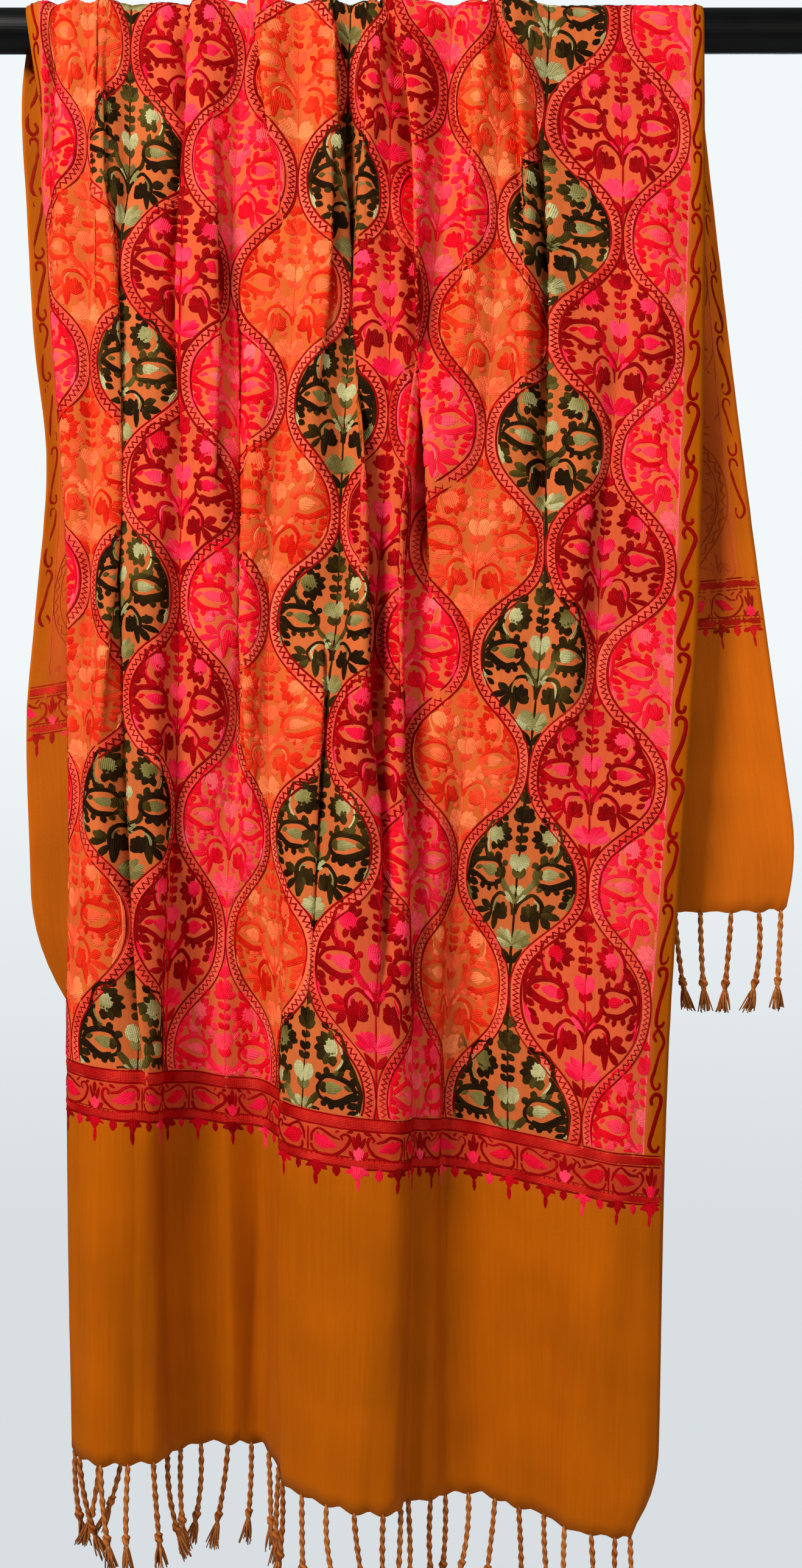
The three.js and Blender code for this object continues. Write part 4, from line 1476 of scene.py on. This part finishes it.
@dataclass
class Embroidery:
    """All the needlework: lenses, bands, borders, and their floats on the wrong side."""

    drape: Drape
    net: OgeeNet = field(default_factory=OgeeNet)
    # How many times each column's sprig is sewn anew.
    variants: int = 4
    # The sum of the v of a place in the front border and of its twin at the back.
    mirror: float = 2073.0
    # The selvedge scroll: its pitch and its two ends.
    hook_pitch: float = 51.5
    hook_low: float = 318.0
    hook_high: float = 1757.0

    # How much fuller than the chart the runs are sewn: green ones, others, and broad ones.
    FULL_GREEN, FULL, BROAD, BROAD_FROM = 1.62, 1.5, 1.15, 4.0
    # How the sprigs differ: their size, how their places bend across and up, their tone's slow
    # swell and its step, and the lift of the tones of pink and orange.
    SIZE_SPREAD, BEND_X, BEND_Y, TONE_SWELL, TONE_STEP, PALER = 0.03, 1.1, 1.3, 0.24, 0.05, 0.18
    # How much of the dye shows on the wrong side, and the darkest tones that reach through it.
    LENS_FLOAT, STEM_FLOAT, BAND_FLOAT, BORDER_FLOAT, FLOAT_TONES = 0.16, 0.4, 0.4, 0.9, 0.2
    # A band: its ground's half-width, its lines' distance from the middle and the half-widths
    # of the bold and the fine one, its zigzag's two sways, and its zigzag's height over it.
    BAND_HALF, LINE_OFF, BOLD, FINE, ZIG_SWAY, OVER_BAND = 4.7, 4.4, 0.85, 0.62, (2.4, -1.5), 0.42
    # How far the selvedge scroll runs in from either edge.
    SCROLL_IN = 10.2

    def build(self) -> list[bpy.types.Object]:
        """Sews every piece."""
        thread = ThreadFinish("silk_thread").material()
        floats = ThreadFinish("silk_floats", relief=0.0001).material()
        pieces = []
        groups = (("lenses_left", range(0, 5)), ("lenses_middle", range(5, 9)),
                  ("lenses_right", range(9, 13)))
        for name, columns in groups:
            work = Needlework(self.drape)
            for column in columns:
                self._lenses(work, column, Needle(11), 1.0)
                self._stem(work, column, 1.0)
            pieces.append(work.piece(name, thread))
        work = Needlework(self.drape)
        for gap in range(self.net.columns - 1):
            self._band(work, gap, Needle(200 + gap, stray=0.25), 1.0)
        pieces.append(work.piece("ogee_bands", thread))
        work = Needlework(self.drape)
        self._borders(work, Needle(31), 1.0)
        pieces.append(work.piece("border_stitches", thread))
        work = Needlework(self.drape, wrong_side=True)
        thin = Needle(77, slim=0.42, relief=0.22, wide=9.0, coarse=2.6)
        for column in range(self.net.columns):
            self._lenses(work, column, thin, self.LENS_FLOAT)
            self._stem(work, column, self.STEM_FLOAT)
        pieces.append(work.piece("lens_floats", floats))
        work = Needlework(self.drape, wrong_side=True)
        for gap in range(self.net.columns - 1):
            thin = Needle(300 + gap, stray=0.25, slim=0.6, relief=0.2)
            self._band(work, gap, thin, self.BAND_FLOAT)
        self._borders(work, Needle(32, slim=0.85, relief=0.25, wide=9.0), self.BORDER_FLOAT)
        pieces.append(work.piece("border_floats", floats))
        return pieces

    def _lenses(self, work: Needlework, column: int, needle: Needle, strength: float) -> None:
        """Sews one column of lenses; the two outermost columns are half lenses."""
        family = self.net.family(column)
        rng = np.random.default_rng(1000 + column)
        strokes = LensChart().strokes(family)
        if work.wrong_side:
            strokes = [stroke for stroke in strokes if stroke.tone < self.FLOAT_TONES]
        if column == 0:
            strokes = [s for s in strokes if s.path[-1][0] > 0]
        if column == self.net.columns - 1:
            strokes = [s for s in strokes if s.path[-1][0] < 0]
        swell = self.FULL_GREEN if family is Family.GREEN else self.FULL
        fuller = [Stroke(s.path, s.half * (self.BROAD if s.half > self.BROAD_FROM else swell),
                         s.tone, s.shape) for s in strokes]
        patches = [needle.sew(fuller) for _ in range(self.variants)]
        inner = 0 < column < self.net.columns - 1
        for centre in self.net.centres(column):
            patch = patches[rng.integers(self.variants)]
            flip = -1.0 if inner and rng.random() < 0.5 else 1.0
            sizes = rng.uniform(1 - self.SIZE_SPREAD, 1 + self.SIZE_SPREAD, 2)
            placed = patch.turned((flip * sizes[0], sizes[1]), (0.0, 0.0))
            x, y = placed.place.T.copy()
            a, b, c, d = rng.uniform(0, 2 * math.pi, 4)
            off_stem = np.clip(np.abs(x) / 12, 0, 1)
            placed.place = np.stack([
                x + self.BEND_X * np.sin(y / 31 + a) * off_stem + self.net.axis(column),
                y + self.BEND_Y * np.sin(x / 21 + b) * off_stem + centre,
            ], axis=1)
            placed.tone = (placed.tone + self.TONE_SWELL * np.sin(x / 13 + c) * np.sin(y / 19 + d)
                           + rng.uniform(-self.TONE_STEP, self.TONE_STEP))
            if family in (Family.PINK, Family.ORANGE) and not work.wrong_side:
                placed.tone = self.PALER + (1 - self.PALER) * placed.tone
            placed.place[:, 1] -= self.net.settle(placed.place[:, 1])
            work.lay(placed, family, strength, self.net.low + 1, self.net.high - 1)

    def _stem(self, work: Needlework, column: int, strength: float) -> None:
        """Sews a column's stem, thicker at the necks between two lenses."""
        edge = column in (0, self.net.columns - 1)
        axis = self.net.axis(column)
        first = self.net.centres(column)[0]
        needle = Needle(500 + column, stray=0.15)
        v = np.arange(self.net.low, self.net.high, 10.0)
        family = self.net.family(column)
        tone = {Family.GREEN: 0.16, Family.CRIMSON: 0.3}.get(family, 0.55)
        stem = needle.sew([Stroke(tuple((axis, at) for at in v), 1.0, 0.92 if edge else tone,
                                  Shape.LINE)])
        neck = 0.5 - 0.5 * np.cos(2 * math.pi * (stem.place[:, 1] - first) / self.net.period)
        swell = 1.0 if edge else 0.85 + 0.6 * neck**2
        if work.wrong_side:
            swell = 0.5 * swell
        stem.place[:, 0] = axis + (stem.place[:, 0] - axis) * swell
        work.lay(stem, family, strength)

    def _band(self, work: Needlework, gap: int, needle: Needle, strength: float) -> None:
        """Sews one wavy band: a coral ground, two dark lines and a zigzag between them."""
        net = self.net
        v = np.arange(net.low + 1, net.high, 9.0 if work.wrong_side else 4.5)

        def track(offset: float, at: np.ndarray) -> tuple[Pair, ...]:
            """Places of a line that keeps its distance from the band's middle."""
            middle = net.band(gap, at)
            slope = np.gradient(middle, at)
            length = np.hypot(1.0, slope)
            return tuple(zip(middle + offset / length, at - offset * slope / length))

        bold = 1 if gap % 3 else -1
        if not work.wrong_side:
            ground = needle.sew([Stroke(track(0.0, v), self.BAND_HALF, 0.76, Shape.LINE, True)])
            ground.lift = ground.lift * 0.55
            self._lay_band(work, gap, ground, strength)
        lines = [Stroke(track(self.LINE_OFF * side, v), half, 0.08, Shape.LINE, True)
                 for side, half in ((bold, self.BOLD), (-bold, self.FINE))]
        teeth = np.arange(net.low + 2, net.high - 2, 4.4 if work.wrong_side else 2.15)
        middle = np.array(track(0.0, teeth))
        aside = np.array(track(1.0, teeth)) - middle
        sway = np.where(np.arange(len(teeth)) % 2, *self.ZIG_SWAY)[:, None] * bold
        zigzag = Stroke(tuple(map(tuple, middle + aside * sway)), 0.95, 0.08, Shape.LINE, True)
        for stroke in (*lines, zigzag):
            patch = needle.sew([stroke])
            patch.lift = patch.lift + self.OVER_BAND
            self._lay_band(work, gap, patch, strength, zigzag=stroke is zigzag)

    @staticmethod
    def _lay_band(work: Needlework, gap: int, patch: Patch, strength: float,
                  zigzag: bool = False) -> None:
        """Lays one layer of a band, its tone swelling slowly, and more so on the zigzag."""
        v = patch.place[:, 1]
        wave = np.sin(v / 57 + 2.1 * gap) * np.sin(v / 23 + gap)
        patch.tone = patch.tone + 0.14 * wave
        if zigzag and not work.wrong_side:
            patch.tone = patch.tone + 0.22 * np.clip(wave, 0, 1)
        work.lay(patch, Family.BAND, strength)

    def _borders(self, work: Needlework, needle: Needle, strength: float) -> None:
        """Sews the border at each end and the hooked scroll along each selvedge."""
        width = self.drape.cloth.width
        rails, motifs = self._rails(width), self._border_motifs(width)
        for mirror in (False, True):
            for strokes, family in ((rails, Family.BAND), (motifs, Family.CRIMSON)):
                patch = needle.sew(strokes)
                if mirror:
                    patch = patch.turned((1.0, -1.0), (0.0, self.mirror))
                wave = np.sin(patch.place[:, 0] / 27 + 1.0) * np.sin(patch.place[:, 0] / 11.3)
                patch.tone = patch.tone + 0.12 * wave
                work.lay(patch, family, strength)
        for axis, turn in ((self.SCROLL_IN, 1.0), (width - self.SCROLL_IN, -1.0)):
            patch = needle.sew(self._hooks())
            work.lay(patch.turned((turn, 1.0), (axis, 0.0)), Family.BAND, strength)

    def _hooks(self) -> list[Stroke]:
        """The selvedge scroll: long slanting runs with a hook at either end."""
        hooks = []
        for k in range(int((self.hook_high - self.hook_low) / self.hook_pitch)):
            foot = self.hook_low + k * self.hook_pitch
            places = ((2.6, 41.0), (4.6, 45.6), (1.2, 49.6), (-3.6, 47.2), (-4.6, 41.0),
                      (-1.6, 30.0), (2.4, 17.0), (4.4, 7.4), (2.0, 1.6), (-2.4, 2.6), (-3.0, 7.2))
            hooks.append(Stroke(tuple((x, foot + y) for x, y in places), 1.7, 0.06, Shape.LINE))
        return hooks

    def _rails(self, width: float) -> list[Stroke]:
        """The border's two rails with their rungs and teeth."""
        across = np.arange(2.0, width - 1.0, 5.0)

        def rail(v: float, half: float, tone: float) -> Stroke:
            """One straight line of the border."""
            return Stroke(tuple((x, v) for x in across), half, tone, Shape.LINE, True)

        def rope(low: float, high: float, half: float) -> Stroke:
            """A dark zigzag that fills a rail."""
            teeth = np.arange(2.0, width - 1.5, 1.9)
            return Stroke(tuple((x, high if k % 2 else low) for k, x in enumerate(teeth)), half,
                          0.06, Shape.LINE, True)

        return [rail(311.6, 4.6, 0.36), rail(316.2, 1.0, 0.05), rail(306.8, 0.9, 0.08),
                rope(308.6, 313.0, 0.85), rail(280.2, 4.0, 0.34), rail(284.6, 0.8, 0.08),
                rail(276.2, 1.0, 0.05), rope(280.4, 283.6, 0.95)]

    def _border_motifs(self, width: float) -> list[Stroke]:
        """The border's paired paisleys and the drops that hang below it."""
        strokes = []
        pitch, last, middle_v, foot = 75.0, width - 49.5, 295.0, 276.8
        for k in range(10):
            middle = last - pitch * k
            strokes.append(Stroke(((middle, middle_v - 10), (middle, middle_v + 9)), 0.8, 0.1,
                                  Shape.LINE))
            for side in (1.0, -1.0):
                def run(half: float, tone: float, shape: Shape, *places: Pair) -> None:
                    """Adds a run of the unit, mirrored for its other half."""
                    strokes.append(Stroke(tuple((middle + side * x, middle_v + y)
                                                for x, y in places), half, tone, shape))

                run(5.2, 0.62, Shape.POINTED, (5.2, 3.4), (11.0, 0.4), (17.0, -2.4), (23.0, -3.6))
                run(1.2, 0.08, Shape.LINE, (3.0, -3.6), (4.5, -9.0), (11.0, -11.6), (19.0, -10.6),
                    (26.0, -6.6), (30.4, -1.0), (31.0, 4.2), (28.2, 7.2), (25.4, 5.2), (26.4, 2.6))
                run(1.1, 0.12, Shape.LINE, (2.6, -2.4), (3.2, 4.6), (8.4, 8.8), (14.0, 7.8),
                    (19.0, 4.6), (25.0, 3.4))
                run(1.1, 0.34, Shape.LEAF, (6.4, 5.8), (12.6, -5.6))
                run(1.0, 0.4, Shape.LEAF, (11.4, 5.0), (17.0, -4.6))
                run(1.5, 0.1, Shape.LEAF, (28.6, 8.0), (33.2, 10.4))
                run(1.3, 0.2, Shape.LEAF, (20.6, 7.6), (24.6, 10.2))
            column = middle + pitch / 2
            strokes.append(Stroke(((column, middle_v - 12.2), (column, middle_v - 2.0)), 4.8, 0.86,
                                  Shape.DISC))
            for x0, y0, x1, y1, half, tone in (
                    (0, -3, 0, 10.6, 2.1, 0.05), (-1, -5, -4.2, 6, 2.0, 0.07),
                    (1, -5, 4.2, 6, 2.0, 0.07), (-3.2, -11.6, -6.6, -5.6, 1.7, 0.1),
                    (3.2, -11.6, 6.6, -5.6, 1.7, 0.1)):
                strokes.append(leaf(column + x0, middle_v + y0, column + x1, middle_v + y1, half,
                                    tone))
        spacing = 15.0
        for k in range(int(width / spacing)):
            x = spacing * (k + 0.6)
            tone = (0.06, 0.12, 0.8, 0.5, 0.08, 0.7, 0.46, 0.1)[k % 8]
            if k % 2:
                strokes.append(Stroke(((x, foot), (x, foot - 9.0)), 3.1, tone, Shape.DISC))
            else:
                strokes += [
                    Stroke(((x, foot + 0.6), (x, foot - 9.4)), 5.0, tone, Shape.TAPER),
                    leaf(x - 1.0, foot - 1.4, x - 8.0, foot - 4.4, 2.4, tone),
                    leaf(x + 1.0, foot - 1.4, x + 8.0, foot - 4.4, 2.4, tone),
                    leaf(x, foot - 6.0, x, foot - 19.0, 1.7, tone),
                ]
        return strokes


# --- the fringe


def small_noise(seed: float) -> float:
    """The same small number, from -1 to 1, that places the solid strands."""
    return math.sin(seed * 12.9898 + 4.1) * math.cos(seed * 7.233)


# The darkest and the palest wool of the fringes, before light.
FRINGE_DARK, FRINGE_PALE = linear(124, 56, 8), linear(208, 124, 56)


def ring(count: int) -> tuple[np.ndarray, np.ndarray]:
    """The angles and the points of a level circle of radius 1."""
    around = np.arange(count) * 2 * math.pi / count
    return around, np.stack([np.cos(around), np.sin(around), 0 * around], axis=-1)


@dataclass
class Fringe:
    """The twisted, knotted and frayed strands at one end of the sheet, in mm."""

    drape: Drape
    front: bool
    # A strand's root lies past the even hem, and its top is tucked back up into the hem.
    root_past_hem: float = 5.3
    tuck: float = 3.4
    # The lengths and the radii of the twist, the knot and the frayed brush.
    twist_end: float = 54.0
    knot: float = 7.5
    brush: float = 22.0
    radius: float = 2.45
    knot_radius: float = 4.2
    brush_radius: float = 7.2
    # How far its foot strays sideways, how much more the first few stray, and how far it bows.
    stray: float = 15.0
    loose: tuple[float, int] = (1.7, 8)
    bow: float = 1.6
    # The drop over which the twist goes once round, and the points round it.
    lay_pitch: float = 8.0
    sides: int = 8
    # The hairs of a brush, and a hair's radius at its root.
    hairs: int = 18
    hair: float = 1.15

    # How pale a strand is, how much painted light and shade on the plies of its twist and its
    # place in the row change that, and how much darker its knot is.
    PALE, PALE_TWIST, PALE_SPREAD, KNOT_DARKER = 0.46, 0.36, 0.2, 0.15
    # The step from ring to ring down the twist, the rings of the knot, and how far below it the
    # two rings lie that close the skin.
    STEP, KNOT_RINGS, CLOSING = 1.7, 9, (1.6, 3.6)
    # The twist's two lobes: their mean and swing as shares of its radius, how much its size
    # wavers, and how much further it turns in the knot.
    LOBE_MEAN, LOBE_SWING, WAVER, KNOT_TURN = 0.82, 0.2, 0.08, 2.4
    # How far apart the grain of one strand starts from the next one's.
    GRAIN_STEP = 11.0

    def __post_init__(self) -> None:
        """Starts the fringe's own run of small differences and its empty mesh."""
        self.rng = np.random.default_rng(5 if self.front else 6)
        self.points: list[np.ndarray] = []
        self.grains: list[np.ndarray] = []
        self.dyes: list[np.ndarray] = []
        self.faces: list[np.ndarray] = []
        self.count = 0

    def build(self, name: str, material: bpy.types.Material) -> bpy.types.Object:
        """Builds every strand as one piece.

        Args:
            name: The piece's name.
            material: Its wool.

        Returns:
            The piece.
        """
        cloth = self.drape.cloth
        pitch = cloth.width / cloth.strands
        for k in range(cloth.strands):
            u = np.array([pitch * (k + 0.5)])
            hem = cloth.front_drop(u) if self.front else -cloth.back_drop(u)
            past = self.root_past_hem if self.front else -self.root_past_hem
            root = self.drape.stand(u, hem + past, np.zeros(1))[0]
            self._strand(root, k + (0 if self.front else 100))
        piece = new_mesh(name, np.concatenate(self.points), self.faces,
                         np.concatenate(self.grains) * MM, np.concatenate(self.dyes))
        piece.data.materials.append(material)
        return piece

    def _centre(self, root: np.ndarray, seed: int, drop: np.ndarray) -> np.ndarray:
        """The middle of a strand at some drops below its root.

        Args:
            root: The strand's root.
            seed: Its number.
            drop: The drops.

        Returns:
            A point in mm for each drop.
        """
        way = np.maximum(drop, 0) / (self.twist_end + self.knot + self.brush)
        bow = self.bow * math.sin(seed * 2.3) * np.sin(math.pi * way)
        more, loose_strands = self.loose
        return root + np.stack([
            self.stray * (more if seed < loose_strands else 1.0) * small_noise(seed) * way**2 + bow,
            self.stray * 0.4 * small_noise(seed + 50) * way - 0.4 * bow,
            -drop,
        ], axis=-1)

    def _strand(self, root: np.ndarray, seed: int) -> None:
        """Builds one strand: its twist and knot as one skin, then its frayed hairs.

        Args:
            root: The strand's root.
            seed: Its number.
        """
        knot_end = self.twist_end + self.knot
        drops = np.concatenate([
            np.arange(-self.tuck, self.twist_end - 0.8, self.STEP),
            np.linspace(self.twist_end, knot_end, self.KNOT_RINGS),
            np.array([knot_end + below for below in self.CLOSING]),
        ])
        middle = self._centre(root, seed, drops)
        share = (drops - self.twist_end) / self.knot
        in_knot = np.sin(math.pi * np.clip(share, 0, 1)) ** 0.5
        size = self.radius + (self.knot_radius - self.radius) * in_knot
        size = size * (1 + self.WAVER * np.sin(drops * 0.35 + seed))
        size = size * np.clip(0.35 + (drops + self.tuck) / 5.0, 0, 1)
        around, circle = ring(self.sides)
        turn = 2 * math.pi * drops / self.lay_pitch + seed + self.KNOT_TURN * in_knot
        lobe = np.cos(2 * (around[None, :] - turn[:, None] / 2))
        reach = size[:, None] * (self.LOBE_MEAN + self.LOBE_SWING * lobe)
        skin = middle[:, None, :] + reach[..., None] * circle
        # The plies' crests are paler and the grooves between them darker: painted light and shade
        # on the twist.
        pale = (self.PALE + self.PALE_TWIST * lobe + self.PALE_SPREAD * math.sin(seed * 1.7)
                - self.KNOT_DARKER * in_knot[:, None])
        run = drops[:, None] + self.GRAIN_STEP * seed
        grain = np.stack(np.broadcast_arrays(run, around * self.radius), axis=-1)
        self._skin(skin, grain, pale)
        for _ in range(self.hairs):
            self._hair(root, seed, knot_end)

    def _hair(self, root: np.ndarray, seed: int, start: float) -> None:
        """Builds one frayed hair that spreads below the knot.

        Args:
            root: The strand's root.
            seed: Its number.
            start: The drop at which it starts.
        """
        length = self.brush * self.rng.uniform(0.8, 1.0)
        drops = start + np.linspace(0.0, length, 5)
        way = (drops - start) / self.brush
        angle = self.rng.uniform(0, 2 * math.pi)
        spread = self.brush_radius * math.sqrt(self.rng.uniform(0.05, 1.0)) * way**0.7
        curl = angle + 1.2 * way * self.rng.uniform(-1, 1)
        middle = self._centre(root, seed, drops)
        middle = middle + np.stack([spread * np.cos(curl), spread * np.sin(curl), 0 * way], axis=-1)
        around, circle = ring(3)
        thick = self.hair * (1 - 0.5 * way)
        skin = middle[:, None, :] + thick[:, None, None] * circle
        run = drops[:, None] + self.GRAIN_STEP * seed
        grain = np.stack(np.broadcast_arrays(run, around), axis=-1)
        self._skin(skin, grain, np.full(skin.shape[:2], self.rng.uniform(0.35, 1.0)))

    def _skin(self, rings: np.ndarray, grain: np.ndarray, pale: np.ndarray) -> None:
        """Adds a tube through rings that run downwards, closed at both ends.

        Args:
            rings: Points, (rings, points round, 3).
            grain: The UV place of each point.
            pale: How pale each point is.
        """
        rows, cols = rings.shape[:2]
        index = self.count + np.arange(rows * cols).reshape(rows, cols)
        ahead = np.roll(index, -1, axis=1)
        self.faces.append(np.stack([index[:-1], index[1:], ahead[1:], ahead[:-1]],
                                   axis=-1).reshape(-1, 4))
        for row, order in ((index[0], 1), (index[-1], -1)):
            row = row[::order]
            self.faces.append(np.stack([np.full(cols - 2, row[0]), row[1:-1], row[2:]], axis=1))
        self.points.append(rings.reshape(-1, 3))
        self.grains.append(grain.reshape(-1, 2))
        share = np.clip(pale, 0, 1).reshape(-1, 1)
        self.dyes.append(blend(FRINGE_DARK, FRINGE_PALE, share))
        self.count += rows * cols


# --- studio


@dataclass(frozen=True)
class Lamp:
    """One soft square light that looks at a point."""

    name: str
    where: tuple[float, float, float]
    looks_at: tuple[float, float, float]
    side: float
    power: float
    colour: Colour

    def add(self) -> None:
        """Adds the light to the scene."""
        bpy.ops.object.select_all(action="DESELECT")
        bpy.ops.object.light_add(type="AREA", location=self.where)
        lamp = bpy.context.object
        lamp.name = self.name
        lamp.data.size = self.side
        lamp.data.energy = self.power
        lamp.data.color = self.colour
        away = np.array(self.where) - np.array(self.looks_at)
        flat = math.hypot(away[0], away[1])
        lamp.rotation_euler = (math.atan2(flat, away[2]), 0.0, math.atan2(away[0], -away[1]))


LAMPS = (
    Lamp("key_light", (-1.49, -1.91, 0.75), (0.0, 0.0, -0.65), 0.9, 99.0, linear(255, 252, 248)),
    Lamp("fill_light", (1.9, -2.3, -0.4), (0.0, 0.0, -0.7), 1.8, 29.0, linear(255, 250, 244)),
    Lamp("back_light", (0.9, 2.4, 0.6), (0.0, 0.0, -0.5), 1.4, 40.0, linear(250, 252, 255)),
)


@dataclass
class Studio:
    """The plain floor, the sky and the camera, in metres."""

    floor_drop: float = 2.6
    floor_radius: float = 2.0
    # The camera's distance from the front of the long fall, how far that front stands out from
    # the rod's axis, and the camera's height.
    distance: float = 1.2
    front: float = 0.0187
    eye: float = -0.628
    # Its focal length and the height of the full frame in pixels, and its sensor's height in mm.
    focal_pixels: float = 2400.0
    frame_height: float = 2576.0
    sensor: float = 36.0
    # The sky's light, the floor's own faint glow, and the rises between which the sky changes.
    ambient: float = 0.24
    glow: float = 0.14
    horizon: Pair = (-0.28, 0.08)

    def build(self) -> None:
        """Builds the floor, the lights, the sky and the camera."""
        self._floor()
        self._sky()
        for lamp in LAMPS:
            lamp.add()
        self._camera()
        bpy.context.scene.view_settings.view_transform = "Standard"

    def _floor(self) -> None:
        """Lays a pale floor well below the fringe."""
        bpy.ops.object.select_all(action="DESELECT")
        bpy.ops.mesh.primitive_circle_add(vertices=96, radius=self.floor_radius,
                                          fill_type="NGON",
                                          location=(0.0, 0.0, -self.floor_drop))
        floor = bpy.context.object
        floor.name = "pale_floor"
        bench = Bench("pale_floor")
        place = bench.add("ShaderNodeTexCoord").outputs["Object"]
        mottle = bench.noise(place, 3.0)
        colour = bench.mix(bench.span(mottle, 0.3, 0.7, 0.0, 1.0),
                           (*linear(222, 226, 228), 1.0), (*linear(230, 233, 235), 1.0))
        floor.data.materials.append(bench.finish(
            colour, None, 0.0, Roughness=0.9, Specular_IOR_Level=0.0, Emission_Strength=self.glow,
            Emission_Color=(*linear(226, 232, 235), 1.0)))

    def _sky(self) -> None:
        """Surrounds the scene with a pale, slightly blue light, brightest above."""
        world = bpy.data.worlds.new("pale_room")
        bpy.context.scene.world = world
        world.use_nodes = True
        nodes, links = world.node_tree.nodes, world.node_tree.links
        background = nodes["Background"]
        place = nodes.new("ShaderNodeTexCoord")
        parts = nodes.new("ShaderNodeSeparateXYZ")
        ramp = nodes.new("ShaderNodeValToRGB")
        links.new(place.outputs["Generated"], parts.inputs[0])
        rise = nodes.new("ShaderNodeMapRange")
        rise.inputs["From Min"].default_value = self.horizon[0]
        rise.inputs["From Max"].default_value = self.horizon[1]
        links.new(parts.outputs[2], rise.inputs["Value"])
        links.new(rise.outputs[0], ramp.inputs[0])
        ramp.color_ramp.elements[0].color = (*linear(216, 222, 225), 1.0)
        ramp.color_ramp.elements[1].color = (*linear(242, 248, 250), 1.0)
        links.new(ramp.outputs[0], background.inputs["Color"])
        path = nodes.new("ShaderNodeLightPath")
        strength = nodes.new("ShaderNodeMapRange")
        strength.inputs["To Min"].default_value = self.ambient
        links.new(path.outputs["Is Camera Ray"], strength.inputs["Value"])
        links.new(strength.outputs[0], background.inputs["Strength"])

    def _camera(self) -> None:
        """Puts the camera straight in front of the long fall."""
        data = bpy.data.cameras.new("camera")
        data.sensor_fit = "VERTICAL"
        data.sensor_height = self.sensor
        data.lens = self.sensor * self.focal_pixels / self.frame_height
        camera = bpy.data.objects.new("camera", data)
        bpy.context.scene.collection.objects.link(camera)
        camera.location = (0.0, -self.distance - self.front, self.eye)
        camera.rotation_euler = (math.radians(90.0), 0.0, 0.0)
        bpy.context.scene.camera = camera


# --- the whole


def main() -> None:
    """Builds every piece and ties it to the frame."""
    logging.basicConfig(level=logging.INFO, format="%(name)s: %(message)s")
    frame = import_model()
    bpy.ops.object.select_all(action="DESELECT")
    Studio().build()
    low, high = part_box("rod")
    cloth = ClothSizes()
    drape = Drape(cloth, (high[2] - low[2]) / 2 / MM)

    sheet = ShawlCloth(drape).build()
    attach(sheet, "root")
    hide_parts("fall_front", "saddle", "fall_back")
    LOG.info("cloth: %d faces", len(sheet.data.polygons))

    needlework = Embroidery(drape).build()
    for piece in needlework:
        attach(piece, "root")

    twist = TwistFinish().material()
    for front, name, node in ((True, "front_strands", "fringe_front"),
                              (False, "back_strands", "fringe_back")):
        fringe = Fringe(drape, front).build(name, twist)
        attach(fringe, "root")
        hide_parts(node)
        needlework.append(fringe)

    rod = frame["nodes"]["rod"]
    rod.data.materials.clear()
    rod.data.materials.append(RodFinish().material())


if __name__ == "__main__":
    main()
